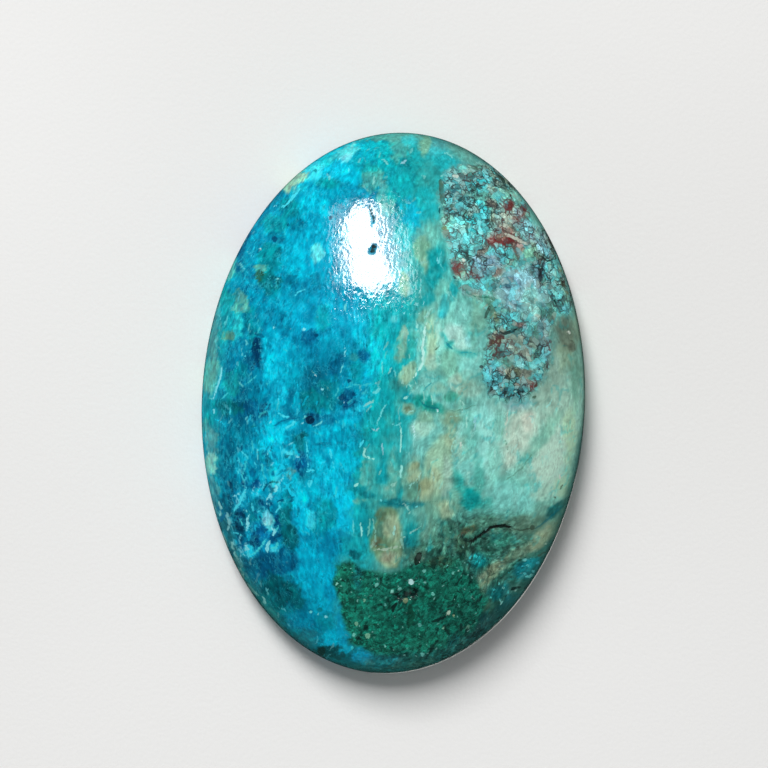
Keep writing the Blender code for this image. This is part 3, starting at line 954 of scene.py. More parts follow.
# Dark cracks and veins: (points, width, colour, strength)
VEINS = [
    # painted shade: the score down from the bright spot is laid dark along its hollow
    ([(370, 205), (371, 211), (373, 218), (373, 224)], 2.4, PIT_SHADE_TONE, .9),
    ([(373, 224), (373, 230)], 1.4, SLATE, .6),
    ([(465, 542), (471, 542), (477, 538), (484, 533), (490, 528), (498, 526), (506, 526), (513, 528)], 3.4, PITCH, .97),
    ([(455, 537), (463, 533), (472, 530)], 2.0, BARK, .6),
    ([(512, 528), (519, 531), (527, 529), (533, 527)], 1.6, DEEP_MOSS, .7),
    ([(532, 530), (533, 525)], 5.0, DEEP_MOSS, .8),
    ([(536, 529), (546, 521), (556, 512), (567, 503)], 2.2, DARK_TEAL, .6),
    ([(538, 556), (548, 551), (558, 543), (563, 537)], 2.4, DEEP_MOSS, .8),
    ([(272, 427), (279, 423), (288, 419), (298, 418), (306, 419)], 1.5, DENIM, .7),
    ([(267, 483), (273, 481), (279, 482)], 2.0, INKY_TEAL, .8),
    ([(250, 427), (257, 426)], 1.8, DEEP_TEAL, .7),
    ([(364, 296), (372, 298), (380, 298)], 1.2, TEAL, .5),
    ([(433, 351), (440, 345)], 1.2, MOSS, .75),
    ([(446, 342), (449, 346), (453, 349)], 2.0, TEAL, .8),
    ([(458, 353), (466, 352), (473, 353), (478, 357)], 1.4, SEA, .7),
    ([(423, 392), (428, 386), (433, 380)], 1.8, SEA, .75),
    ([(419, 400), (425, 405), (433, 408), (440, 409)], 2.2, DEEP_TEAL, .7),
    ([(446, 412), (456, 411), (464, 409), (476, 405)], 1.0, FERN, .8),
    ([(434, 412), (434, 428)], 1.0, SAGE, .7),
    ([(533, 452), (525, 464), (514, 475), (505, 481)], 1.5, FERN, .7),
    ([(503, 420), (502, 432), (505, 446)], 1.0, LEAF_SAGE, .7),
    ([(520, 410), (519, 424), (512, 440)], 1.0, SAGE_CREAM, .7),
    ([(420, 502), (434, 502), (448, 502)], 1.4, FERN, .7),
    ([(382, 501), (394, 504), (408, 506), (416, 503)], 1.8, DEEP_TEAL, .8),
    ([(498, 408), (497, 425), (497, 440)], 1.0, SAGE, .6),
    ([(452, 448), (455, 462)], 1.2, SAGE, .5),
    ([(506, 440), (508, 450)], 1.6, FERN, .85),
    ([(417, 476), (419, 486), (417, 495)], 1.6, OLIVE, .8),
    ([(563, 484), (560, 490)], 2.0, MOSS, .85),
    ([(555, 497), (555, 499)], 3.0, MOSS, .85),
    ([(496, 329), (499, 332), (505, 333), (513, 331), (518, 328)], 3.0, PITCH, .95),
    ([(494, 325), (497, 330)], 2.4, PITCH, .85),
    ([(499, 357), (500, 351), (508, 352), (513, 352)], 2.0, MAROON, .85),
    ([(524, 361), (526, 366)], 3.0, INKY_TEAL, .9),
    ([(505, 284), (511, 288)], 4.0, INK, .7),
    ([(493, 168), (496, 174), (502, 178), (505, 186), (511, 190)], 2.2, BLACK_TEAL, .95),
    ([(496, 168), (503, 172), (508, 177), (512, 178)], 2.4, BLACK_TEAL, .95),
    ([(511, 178), (512, 184), (510, 190)], 2.0, BLACK_TEAL, .9),
    ([(508, 174), (514, 178)], 3.0, DEEP_MOSS, .8),
    ([(470, 167), (477, 169), (484, 175)], 2.4, MOSS, .8),
    ([(545, 228), (549, 238), (552, 246), (556, 252)], 3.0, PITCH, .95),
    ([(541, 254), (546, 261), (551, 261), (556, 255)], 2.2, BLACK_TEAL, .95),
    ([(541, 232), (546, 229)], 2.4, BLACK_TEAL, .8),
    ([(556, 252), (561, 262), (565, 270)], 2.2, PITCH, .85),
    ([(551, 297), (555, 301), (558, 305)], 2.6, BLACK_TEAL, .95),
    ([(561, 322), (563, 329), (567, 333)], 1.8, (70, 78, 66), .7),
    ([(569, 339), (574, 343), (577, 350)], 1.6, (64, 76, 62), .7),
    ([(556, 337), (560, 343)], 1.6, (74, 84, 72), .6),
    ([(571, 320), (574, 327)], 1.5, (70, 84, 72), .6),
    ([(490, 306), (488, 311), (484, 319)], 3.4, DEEP_MOSS, .8),
    ([(493, 309), (497, 308)], 2.4, DEEP_MOSS, .85),
    ([(513, 303), (520, 306), (525, 310)], 2.6, GRAPHITE, .7),
    ([(440, 179), (442, 192), (442, 204)], 5.0, MOSS, .8),
    ([(439, 205), (440, 214)], 2.2, INKY_TEAL, .8),
    ([(466, 224), (466, 229), (468, 236)], 2.4, BOTTLE, .85),
    ([(469, 222), (466, 226)], 2.0, BLACK_TEAL, .8),
    ([(476, 188), (478, 196), (484, 196)], 2.4, GRAPHITE, .8),
    ([(466, 176), (469, 178), (476, 177)], 3.6, GRAPHITE, .7),
    ([(484, 200), (490, 204), (494, 207)], 3.0, GRAPHITE, .85),
    ([(492, 210), (492, 219), (494, 226)], 2.2, PITCH, .85),
    ([(486, 234), (486, 244), (490, 246)], 2.6, MAROON, .8),
    ([(512, 245), (516, 252), (520, 262)], 3.0, BARK, .7),
    ([(462, 262), (466, 268), (466, 262)], 2.0, MAROON, .8),
    ([(452, 276), (459, 279)], 2.4, GRAPHITE, .8),
    ([(463, 287), (469, 294), (480, 297), (490, 297)], 2.0, GREEN, .75),
    ([(479, 266), (483, 272), (490, 277)], 2.2, GRAPHITE, .75),
    # painted shade: most of these dark marks lie in the pits and the score cut into the green patch's relief
    ([(409, 604), (411, 611), (412, 619), (408, 627)], 6.0, BOTTLE, .85),
    ([(392, 613), (393, 607), (397, 603)], 3.6, BLACK_TEAL, .95),
    ([(432, 623), (440, 620), (447, 617)], 3.2, BLACK_TEAL, .9),
    ([(446, 607), (455, 606)], 3.0, BLACK_TEAL, .8),
    ([(443, 624), (447, 632), (450, 636)], 3.0, BLACK_TEAL, .8),
    ([(416, 565), (418, 558), (421, 553)], 6.0, PITCH, .9),
    ([(380, 582), (388, 588), (398, 587)], 3.0, BOTTLE, .8),
    ([(364, 626), (367, 630)], 4.0, BLACK_TEAL, .9),
    ([(373, 624), (377, 626)], 3.0, BOTTLE, .85),
    ([(461, 622), (461, 632)], 3.0, BLACK_TEAL, .85),
    ([(466, 629), (470, 633)], 5.0, BLACK_TEAL, .85),
    ([(510, 590), (515, 588), (521, 587)], 3.0, BLACK_TEAL, .95),
    ([(536, 578), (530, 584), (524, 590)], 3.4, BLACK_TEAL, .9),
    ([(527, 557), (520, 560), (512, 566), (508, 574)], 1.8, BOTTLE, .8),
    ([(503, 597), (509, 594)], 2.2, BLACK_TEAL, .8),
    ([(460, 558), (464, 560)], 4.0, BOTTLE, .8),
]

# Small light and dark specks: (u, v, radius, colour, strength)
SPECKS = [
    (316, 375, 1.2, SNOW, .95), (304, 329, 1.3, FROST, .9),
    (260, 249, 1.1, SNOW, .9), (278, 279, 1.3, FROST, .8),
    (291, 329, 1.0, HAZE, .8), (305, 417, 1.6, AQUA, .85),
    (322, 389, 1.4, FROST, .9), (302, 423, 1.3, FROST, .85),
    (345, 403, 0.9, HAZE, .85), (338, 398, 1.0, AQUA, .8),
    (411, 582, 2.9, SNOW, .97), (392, 592, 1.9, MINT, .9),
    (400, 589, 1.9, CELADON, .85), (376, 585, 1.9, CELADON, .85),
    (406, 601, 2.2, KHAKI, .85), (337, 584, 1.3, MINT, .9),
    (364, 601, 1.7, LEAF_SAGE, .8), (386, 605, 1.5, SAGE, .8),
    (385, 646, 1.5, CELADON, .85), (356, 624, 1.9, LEAF_SAGE, .85),
    (354, 635, 1.7, CELADON, .85), (368, 636, 2.2, LEAF_SAGE, .85),
    (433, 594, 1.9, CELADON, .8), (449, 613, 2.0, CREAM, .92),
    (454, 616, 1.5, STONE_TAN, .9), (444, 628, 1.5, LEAF_SAGE, .85),
    (424, 571, 2.0, CELADON, .85), (459, 571, 1.5, PALE_MINT, .9),
    (453, 573, 1.5, CELADON, .8), (468, 627, 2.0, FERN, .8),
    (420, 626, 1.9, SAGE, .8), (423, 655, 1.9, SAGE, .8),
    (523, 566, 1.3, (60, 206, 222), .9), (533, 571, 1.5, (96, 226, 234), .95),
    (538, 563, 1.6, (40, 190, 212), .9), (530, 558, 1.3, (70, 210, 222), .9),
    (526, 574, 1.2, (80, 216, 224), .85), (519, 572, 1.2, (40, 180, 196), .85),
    (494, 590, 1.4, (60, 196, 200), .9), (499, 584, 1.3, (96, 214, 208), .9),
    (508, 592, 1.2, (70, 196, 190), .85), (491, 598, 1.2, (70, 190, 184), .85),
    (500, 600, 1.5, (110, 220, 210), .9), (476, 556, 1.3, (60, 210, 210), .85),
    (480, 563, 1.2, (50, 200, 200), .85), (447, 566, 1.4, (90, 196, 186), .85),
    (525, 560, 1.7, (120, 226, 222), .95), (529, 566, 1.8, (90, 220, 222), .95),
    (532, 575, 1.7, (120, 224, 220), .95), (503, 588, 1.7, (120, 214, 204), .95),
    (516, 591, 1.1, PALE_MINT, .85), (501, 603, 1.4, FOAM, .85),
    (509, 573, 1.2, VERDIGRIS, .7), (546, 544, 1.1, CREAM, .8),
    (438, 411, 1.5, SNOW, .92), (406, 398, 1.6, FOAM, .85),
    (411, 386, 1.4, FOAM, .85), (404, 313, 1.3, FROST, .85),
    (418, 305, 1.4, AQUA, .8), (464, 315, 1.7, FOAM, .8),
    (417, 507, 1.5, AQUA, .8), (381, 500, 1.5, AQUA, .75),
    (384, 534, 1.1, STONE_TAN, .6), (404, 537, 1.1, PALE_MINT, .9),
    (392, 485, 1.3, MINT, .8), (426, 549, 1.5, CELADON, .75),
    (470, 558, 1.5, LAGOON, .8), (459, 606, 1.2, SAGE, .7),
    (326, 617, 1.6, FROST, .9), (311, 612, 1.3, AQUA, .8),
    (318, 614, 1.1, AQUA, .8), (352, 648, 1.3, LAGOON, .8),
    (300, 348, 1.0, BRIGHT_CYAN, .7), (286, 342, 1.2, LAGOON, .7),
    (275, 328, 1.2, FROST, .8), (246, 357, 1.1, ICE, .8),
    (495, 388, 2.2, FROST, .85), (502, 385, 1.7, AQUA, .8),
    (541, 372, 2.2, FOAM, .85), (515, 391, 1.4, PALE_MINT, .8),
    (507, 396, 1.3, MINT, .7), (481, 181, 1.9, LAGOON, .8),
    (486, 177, 1.9, FROST, .85), (470, 195, 1.7, MINT, .8),
    # dark ones; the first four are painted shade in the pits by the bright spot
    (374, 247, 2.2, BLACK_TEAL, .97), (371, 251, 2.0, BLACK_TEAL, .97),
    (373, 251, 2.2, PIT_SHADE_TONE, .97), (341.5, 240, 1.1, BLACK_TEAL, .9),
    (310, 420, 4.2, INK, .95), (302, 436, 2.2, DARK_TEAL, .8),
    (331, 218, 2.4, NAVY, .8), (288, 225, 1.9, NAVY, .9),
    (342, 397, 3.4, NAVY, .85), (349, 381, 2.2, NAVY, .8),
    (354, 394, 2.2, NAVY, .8), (316, 335, 2.0, NAVY, .8),
    (320, 610, 2.4, DEEP_TEAL, .8), (229, 558, 2.4, INKY_TEAL, .85),
    (282, 184, 1.6, SLATE, .85), (315, 171, 1.8, TEAL, .85),
    (243, 238, 3.2, NAVY, .8), (275, 239, 3.0, NAVY, .8),
    (484, 349, 1.5, MOSS, .6), (482, 367, 2.2, GRAPHITE, .85),
    (534, 397, 1.8, MOSS, .8), (550, 350, 1.8, LIVER, .8),
    (452, 205, 2.4, MOSS, .85), (460, 200, 2.0, INKY_TEAL, .9),
    (454, 192, 3.0, SLATE, .75), (528, 242, 1.6, LIVER, .85),
    (495, 190, 2.4, BARK, .8), (343, 655, 3.0, INKY_TEAL, .8),
    (322, 651, 4.0, BLACK_TEAL, .85), (338, 658, 3.0, INKY_TEAL, .7),
]

# The broad zones under those patches, in the same form: what a spot is where no smaller patch covers it.
ZONES = [
    (380, 150, 90, 24, 4, .8, TURQUOISE, .85),
    (330, 172, 40, 24, -20, .8, CYAN, .8),
    (352, 250, 50, 70, 0, .8, SKY, .5),
    (300, 250, 34, 60, 10, .8, CYAN, .5),
    (262, 300, 30, 70, 8, .8, AZURE, .6),
    (222, 310, 16, 60, 10, .8, VERDIGRIS, .7),
    (212, 400, 14, 80, 0, .8, STEEL_SAGE, .7),
    (236, 400, 18, 50, 0, .8, DENIM, .6),
    (274, 400, 16, 80, 0, .8, CYAN, .55),
    (318, 390, 30, 50, 20, .8, STORM, .65),
    (350, 400, 22, 70, 14, .8, SKY, .6),
    (325, 470, 26, 60, 0, .8, CYAN, .65),
    (424, 178, 34, 34, 0, .8, SEA, .75),
    (458, 158, 34, 16, 30, .8, STEEL_SAGE, .85),
    (418, 232, 24, 34, 0, .8, CELADON, .7),
    (434, 272, 26, 28, 0, .8, VERDIGRIS, .8),
    (386, 330, 26, 40, 6, .8, TURQUOISE, .85),
    (440, 340, 36, 50, 0, .8, MINT, .75),
    (440, 392, 40, 34, 0, .8, CELADON, .75),
    (394, 392, 22, 44, 0, .8, SEA, .75),
    (390, 444, 28, 50, 0, .8, VERDIGRIS, .85),
    (362, 476, 16, 44, 0, .8, SEA, .75),
    (436, 450, 26, 56, 4, .8, MIST, .65),
    (482, 446, 26, 60, 4, .8, FOAM, .55),
    (532, 440, 44, 58, 10, .8, CREAM_GREEN, .9),
    (562, 390, 26, 64, 0, .8, SAGE_CREAM, .8),
    (428, 500, 44, 26, 0, .8, FERN, .75),
    (384, 494, 28, 22, 0, .8, SAGE, .6),
    (472, 500, 26, 20, 0, .8, SAGE, .75),
    (522, 496, 34, 24, -30, .8, CELADON, .75),
    (424, 534, 26, 22, 0, .8, VERDIGRIS, .7),
    (362, 540, 16, 34, 0, .8, SEA, .7),
    (478, 542, 56, 22, -4, .8, PINE, .9),
    (544, 534, 40, 22, -38, .8, LODEN, .9),
    (444, 562, 44, 22, -6, .8, PINE, .85),
    (504, 574, 44, 26, -38, .8, PINE, .85),
    (545, 572, 32, 18, -50, .8, MARSH, .9),
    (500, 612, 56, 22, -38, .8, BOG, .95),
    (424, 656, 70, 17, -8, .8, MARSH, .95),
    (350, 654, 44, 14, 15, .8, DARK_TEAL, .9),
    (262, 588, 24, 40, -34, .8, DARK_TEAL, .85),
    (246, 545, 16, 38, -20, .8, DENIM, .8),
    (296, 622, 34, 22, 34, .8, DEEP_TEAL, .85),
    (308, 580, 22, 54, -10, .8, AZURE, .8),
]

# ---------------------------------------------------------------- painting
# Where the blue side gives way to the pale side, down the chart.
DIVIDE_V = (130, 180, 230, 270, 320, 360, 400, 440, 480, 520, 560, 600, 680)
DIVIDE_U = (400, 412, 414, 402, 404, 396, 386, 370, 360, 358, 352, 344, 350)

# Where the blue side is at its most fibrous: (u, v, half-width, half-height, lean, how much)
LIVELY = (
    (258, 490, 60, 84, 12, 0.32),
    (250, 330, 40, 110, 4, 0.25),
    (300, 440, 30, 40, 0, 0.12),
    (372, 400, 26, 60, 14, 0.20),
    (300, 190, 44, 30, -30, 0.20),
)

# Where the seams of the broken patch have rusted: (u, v, half-width, half-height, lean, how much)
RUSTY = (
    (501, 238, 17, 8, 0, 1.0),
    (508, 206, 7, 9, 10, 0.7),
    (524, 213, 6, 11, 20, 0.85),
    (508, 224, 12, 12, 0, 0.4),
    (456, 268, 7, 9, 0, 0.9),
    (476, 272, 12, 7, 0, 0.55),
    (494, 250, 8, 5, 0, 0.3),
    (530, 240, 8, 5, 20, 0.5),
    (446, 232, 6, 12, -10, 0.5),
    (468, 176, 10, 8, 0, 0.25),
    (534, 386, 7, 6, 0, 0.8),
    (504, 348, 16, 14, 0, 0.45),
    (552, 350, 6, 16, 0, 0.4),
    (549, 236, 6, 10, 0, 0.3),
    (568, 290, 6, 12, 0, 0.3),
)
# Pits and scores too rough to shine: (u, v, radius)
DULL = (
    (374, 247, 2.7), (370, 251, 2.4), (373, 252, 2.7), (341.5, 240, 1.1),
    (370, 206, 1.2), (371, 210, 1.4), (372, 214, 1.7), (373, 218, 1.9), (373, 222, 1.5), (373, 227, 0.8),
    (408, 594, 3), (419, 557, 2),
)
# Where its seams are wide and dark, and where they close up and leave smooth stone.
BROKEN = (
    (470, 195, 34, 34, 0, 0.5),
    (468, 262, 22, 14, 0, 0.7),
    (552, 258, 22, 46, -18, 0.8),
    (504, 388, 26, 16, 0, 0.7),
    (505, 322, 22, 16, 0, 0.3),
    (510, 346, 26, 18, 0, 0.4),
    (542, 350, 12, 34, 0, 0.4),
    (500, 232, 26, 30, 0, 0.5),
    (508, 178, 16, 16, 30, 0.7),
)
HEALED = (
    (526, 292, 28, 24, 0, 0.36),
    (522, 346, 12, 9, 0, 0.3),
    (528, 252, 14, 12, 0, 0.35),
    (494, 300, 14, 12, 0, 0.45),
)


# Broad stretches a little lighter or darker than their minerals alone: (u, v, half-width, half-height, lean, how much).
# The darker ones at the right rim and near the foot are painted shade there.
TONING = (
    (380, 524, 13, 17, 0, -0.10), (210, 342, 8, 26, 0, -0.10), (306, 478, 11, 13, 0, -0.13),
    (498, 334, 12, 12, 0, 0.08), (340, 578, 12, 10, 0, 0.08), (250, 452, 14, 12, 0, 0.07),
    (344, 312, 34, 24, 0, 0.12),
    (298, 335, 26, 34, 0, 0.09),
    (372, 366, 15, 28, 8, 0.15),
    (350, 394, 18, 18, 0, 0.11),
    (348, 522, 16, 26, 0, 0.15),
    (318, 255, 16, 30, 0, 0.12),
    (406, 262, 14, 34, 0, 0.12),
    (230, 505, 14, 34, -6, -0.08),
    (240, 538, 16, 26, -14, -0.12),
    (284, 612, 30, 24, 30, -0.22),
    (232, 425, 16, 26, 0, -0.14),
    (238, 458, 18, 30, 0, -0.10),
    (250, 348, 10, 26, 0, -0.10),
    (316, 380, 26, 34, 14, -0.08),
    (468, 240, 28, 32, 0, 0.18),
    (454, 212, 12, 20, 0, 0.12),
    (440, 345, 40, 44, 0, 0.09),
    (550, 322, 22, 44, -6, -0.16),
    (572, 330, 10, 50, -6, -0.14),
    (514, 336, 30, 24, 0, -0.14),
    (494, 384, 24, 18, 0, -0.12),
    (548, 376, 22, 30, 0, -0.08),
    (520, 384, 22, 18, 0, -0.08),
    (415, 552, 14, 10, 0, -0.14),
    (456, 606, 22, 26, 0, -0.12),
    (470, 630, 24, 18, -20, -0.16),
)


def rgb(tone):
    return np.array(tone, float) / 255


def lay(colour, rows, tone, share):
    """Mixes a tone, or a colour for each row, into rows of colour by share."""
    tone = rgb(tone) if len(np.shape(tone)) == 1 else tone[rows]
    share = np.clip(share, 0, 1)[:, None]
    colour[rows] += (tone - colour[rows]) * share


def lay_patches(colour, u, v, patches, ragged=None, crisp=None):
    """Lays patches in turn. ragged is a noise that frays their edges, and crisp how much sharper they get."""
    for x, y, rx, ry, lean, soft, tone, strength in patches:
        reach = max(rx, ry) * (1 + soft)
        rows = near(u, v, (x - reach, y - reach, x + reach, y + reach))
        if len(rows):
            share = dab(u[rows], v[rows], x, y, rx, ry, lean, soft)
            if ragged is not None:
                share = share + ragged[rows] * 4 * share * (1 - share)
                edge = 0.22 if crisp is None else crisp[rows]
                share = step(edge, 1 - edge, share)
            lay(colour, rows, tone, share * strength)


class Marks:
    """The crisp marks: for each point how far inside the nearest mark it is, in chart units, that mark's colour and its strength."""

    def __init__(self, colour):
        self.inside = np.full(len(colour), -3.0)
        self.tone = colour.copy()
        self.strength = np.zeros(len(colour))

    def add(self, rows, inside, tone, strength):
        deeper = inside > self.inside[rows]
        rows = rows[deeper]
        self.inside[rows] = inside[deeper]
        self.tone[rows] = rgb(tone) if len(np.shape(tone)) == 1 else tone[rows]
        self.strength[rows] = strength[deeper] if np.ndim(strength) else strength

    def lines(self, u, v, lines, keep):
        for points, width, tone, strength in lines:
            xs, ys = [p[0] for p in points], [p[1] for p in points]
            reach = width / 2 + 3
            rows = near(
                u, v, (min(xs) - reach, min(ys) - reach, max(xs) + reach, max(ys) + reach)
            )
            if len(rows):
                inside = within(u[rows], v[rows], points, width)
                self.add(rows, inside, tone, strength * keep[rows])

    def specks(self, u, v, specks, keep):
        for x, y, r, tone, strength in specks:
            rows = near(u, v, (x - r - 3, y - r - 3, x + r + 3, y + r + 3))
            if len(rows):
                inside = r - np.hypot(u[rows] - x, v[rows] - y)
                self.add(rows, inside, tone, strength * keep[rows])


def scatter(seed, count, boxes, lean, spread, lengths, widths, tones, strengths):
    """Short bent strokes strewn over slanting boxes (u, v, half-width, half-height, lean, weight), as Marks.lines takes
    them.
    """
    random = np.random.RandomState(seed)
    weights = np.array([b[5] * b[2] * b[3] for b in boxes], float)
    lines = []
    for which in random.choice(len(boxes), count, p=weights / weights.sum()):
        x, y, rx, ry, turn, _ = boxes[which]
        i, j = random.uniform(-1, 1, 2) * (rx, ry)
        a = math.radians(turn)
        x, y = x + i * math.cos(a) - j * math.sin(a), y + i * math.sin(a) + j * math.cos(a)
        way = math.radians(lean + spread * random.normal())
        length = random.uniform(*lengths)
        points = [(x, y)]
        for _ in range(3):
            way += 0.35 * random.normal()
            x += math.sin(way) * length / 3
            y -= math.cos(way) * length / 3
            points.append((x, y))
        lines.append(
            (
                points,
                random.uniform(*widths),
                tones[random.randint(len(tones))],
                random.uniform(*strengths),
            )
        )
    return lines


# Fibres too many to place one by one: fine strokes strewn where each kind is found
FIBRES = (
    scatter(1, 64, [(256, 500, 26, 60, 14, 1.0), (290, 450, 22, 46, 0, 0.5), (240, 420, 14, 50, 0, 0.3)],
            4, 22, (5, 17), (1.1, 2.1), [ICE, ICE, BRIGHT_CYAN, BRIGHT_CYAN, FROST], (0.4, 0.9)),
    scatter(2, 60, [(252, 500, 26, 60, 14, 1.0), (285, 480, 20, 70, 0, 0.4), (262, 300, 24, 70, 6, 0.4)],
            4, 24, (5, 14), (1.6, 3.4), [NAVY, NAVY, DENIM, INK], (0.35, 0.8)),
    scatter(3, 84, [(272, 370, 20, 100, 0, 1.0), (320, 470, 34, 80, 6, 0.8), (368, 380, 20, 60, 14, 1.0), (300, 200, 44, 34, -20, 0.7)],
            2, 26, (5, 16), (1.4, 2.2), [BRIGHT_CYAN, CYAN, LAGOON], (0.25, 0.6)),
    scatter(4, 80, [(440, 400, 40, 110, 0, 1.0), (385, 450, 26, 100, 0, 1.0), (500, 440, 50, 60, 0, 0.5)],
            4, 16, (6, 18), (1.2, 2.0), [FOAM, PALE_MINT, FOAM, MINT], (0.25, 0.6)),
    scatter(5, 70, [(230, 400, 20, 170, 4, 0.6), (226, 530, 12, 60, -20, 1.0), (260, 600, 12, 50, -42, 1.0), (320, 655, 40, 8, 20, 0.6)],
            -10, 24, (5, 14), (1.3, 2.2), [(86, 192, 206), STEEL_SAGE, AQUA], (0.25, 0.6)),
    scatter(6, 60, [(420, 180, 60, 34, 0, 1.0), (340, 158, 40, 20, -20, 0.6), (430, 250, 24, 50, 0, 0.6)],
            20, 40, (4, 12), (1.4, 2.4), [LAGOON, CELADON, FOAM, SEA], (0.25, 0.55)),
)


# The lighter ones glow a little into the stone around them
HALOS = [
    (points, width, CYAN, 0.45 * strength)
    for points, width, tone, strength in FIBRES[0] + FILAMENTS
    if points[0][0] < 345 and points[0][1] > 330 and tone in (ICE, FROST, BRIGHT_CYAN, LAGOON, AQUA)
]


def strongest(u, v, ovals):
    """The most that any of some soft ovals gives at each point."""
    most = np.zeros(len(u))
    for x, y, rx, ry, lean, strength in ovals:
        most = np.maximum(most, strength * dab(u, v, x, y, rx, ry, lean, 0.7))
    return most


def shifted(p, size, amount, seed):
    """p with its u and v pushed about by noise of the given size."""
    moved = p.copy()
    moved[:, 0] += amount * noise(p / size, seed)
    moved[:, 1] += amount * noise(p / size, seed + 1)
    return moved


def two_way(colour, amount, lighter, darker):
    """Mixes towards lighter where amount is above 0 and towards darker where it's below."""
    rows = np.arange(len(colour))
    lay(colour, rows, lighter, np.clip(amount, 0, 1))
    lay(colour, rows, darker, np.clip(-amount, 0, 1))


def shade(colour, amount, weights=(1.0, 1.0, 1.0)):
    """Scales colour up where amount is above 0 and down where it's below, keeping its hue or pulling it by weights."""
    amount = np.clip(amount, -1.4, 1.0)[:, None]
    colour *= np.exp(amount * np.array(weights))


def ridge(value, width):
    """1 along the creases where a noise crosses nothing, 0 beyond width of them."""
    return 1 - step(0.15 * width, width, np.abs(value))


def paint(p, depth, rho):
    """Colour in 0-1 sRGB and a dict of masks for points p on the chart, depth chart units below the dome's face, rho of the way out to the rim."""
    n = len(p)
    rows = np.arange(n)
    # below the face the same minerals run on, but their zones drift
    drift = np.clip(depth / 60, 0, 1)
    deep = p.copy()
    deep[:, 0] += drift * 26 * noise(p / 90, 40)
    deep[:, 1] += drift * 34 * noise(p / 90, 41)
    # the zones wander at three sizes, thin marks a little
    zone = shifted(deep, 26, 2.4, 1)
    zone = shifted(zone, 9, 1.8, 3)
    ragged = shifted(zone, 3.8, 1.5, 5)
    smooth = step(-10, 30, deep[:, 0] - np.interp(deep[:, 1], DIVIDE_V, DIVIDE_U))
    zone = ragged + (zone - ragged) * (0.7 * smooth)[:, None]
    thin = shifted(deep, 8, 1.0, 7)
    thin = shifted(thin, 3, 0.7, 9)
    zu, zv, tu, tv = zone[:, 0], zone[:, 1], thin[:, 0], thin[:, 1]
    surface = 1 - step(2, 14, depth)
    swirl = shifted(deep, 15, 5.0, 50)
    swirl = shifted(swirl, 6, 2.4, 52)

    green = field(zu, zv, GREEN_PATCH, 3.0)
    breccia = field(zu + 2.5 * noise(deep / 5, 11), zv + 2.5 * noise(deep / 5, 12), BRECCIA, 3.2)
    tan_oval = field(zu, zv, TAN_OVAL, 2.2)
    divide = np.interp(zv, DIVIDE_V, DIVIDE_U)
    pale = step(-26, 26, zu - divide + 11 * noise(swirl / 17, 13) + 6 * noise(swirl / 7, 14))
    blue = 1 - pale

    colour = rgb(AZURE) * blue[:, None] + rgb(SAGE) * pale[:, None]
    frayed = 0.42 * noise(swirl / 7.5, 15) + 0.30 * noise(swirl / 3.6, 16)
    lay_patches(colour, zu, zv, ZONES)
    lay(colour, rows, (112, 138, 98), tan_oval * 0.8)
    lay_patches(colour, zu, zv, PATCHES, frayed * (1 - 0.55 * smooth), 0.22 - 0.17 * smooth)

    # the blue side: cloudy blotches drawn out downwards, brightest to darkest where it is most fibrous
    lively = np.clip(0.42 + strongest(zu, zv, LIVELY), 0.08, 1)
    lively *= 1 - 0.5 * dab(zu, zv, 318, 580, 22, 54, -8, 0.5)
    open_blue = blue * (1 - green)
    weights = (0.7, 1.12, 0.86)
    blotch = grain(swirl, 9, 22, -6, 3, 20, 0.6)
    shade(colour, blotch * 0.30 * open_blue * lively, weights)
    fine = grain(deep, 3.2, 9.5, -2, 1, 22)
    shade(colour, fine * 0.26 * open_blue * (0.4 + 0.6 * lively), weights)
    # lacework and dark creases between the blotches
    gate = step(-0.10, 0.32, noise(deep / np.array([17, 26, 17]), 56))
    web = ridge(grain(zone, 15, 30, -14, 2, 60, 0.45), 0.20)
    lace = web * gate * open_blue * lively
    lay(colour, rows, BRIGHT_CYAN, lace * 0.30)
    lay(colour, rows, ICE, lace * step(0.55, 0.95, lively) * 0.28)
    creases = ridge(grain(zone, 13, 25, 6, 2, 64, 0.45), 0.18) * step(0.05, 0.4, noise(deep / 21, 66))
    lay(colour, rows, NAVY, creases * open_blue * lively * 0.30)

    # the pale side: clouds of cream and mint, faint upright brushing, and threads of teal
    calm = pale * (1 - green) * (1 - breccia)
    cloud = grain(swirl, 12, 17, 4, 3, 24)
    two_way(colour, cloud * 0.26 * calm, PALE_MINT, SAGE)
    shade(colour, grain(swirl, 5.5, 8, 8, 2, 25) * 0.13 * calm)
    earthy = step(0.10, 0.55, noise(swirl / np.array([15, 22, 15]), 27))
    middle = step(372, 400, zu) * (1 - step(450, 490, zu)) * step(300, 340, zv)
    lay(colour, rows, BUFF, earthy * calm * middle * 0.28)
    threads = ridge(grain(zone, 13, 22, 14, 2, 68, 0.45), 0.15) * step(0.0, 0.35, noise(deep / 19, 70))
    lay(colour, rows, SEA, threads * calm * 0.28)
    streak = grain(deep, 2.6, 13, 4, 2, 26)
    brushed = step(330, 372, zu) * (0.6 + 0.4 * (1 - step(470, 520, zu)))
    shade(colour, streak * 0.14 * (1 - green) * (1 - breccia) * brushed)

    # the green patch: packed grains of a few shades, and painted shade in the pits between them
    base = np.tile(rgb((10, 106, 88)), (n, 1))
    two_way(base, grain(swirl, 11, 11, 0, 3, 28) * 0.35, (28, 134, 112), BOTTLE)
    lay_patches(base, zu, zv, GREEN_PARTS)
    near_cell, next_cell, level = cells(shifted(deep, 3, 1.2, 75) / 3.8, 30)
    shade(base, (level[:, 0] - 0.55) * 0.5 + 0.16 * grain(deep, 3, 3, 0, 2, 31))
    lay(base, rows, (34, 140, 120), step(0.86, 0.95, level[:, 1]) * 0.5)
    pit_shade = step(0.22, 0.55, noise(swirl / 6.5, 76) * 1.1) * (0.5 + 0.5 * noise(deep / 25, 77))
    lay(base, rows, BLACK_TEAL, pit_shade * 0.7)
    lay(colour, rows, base, green)
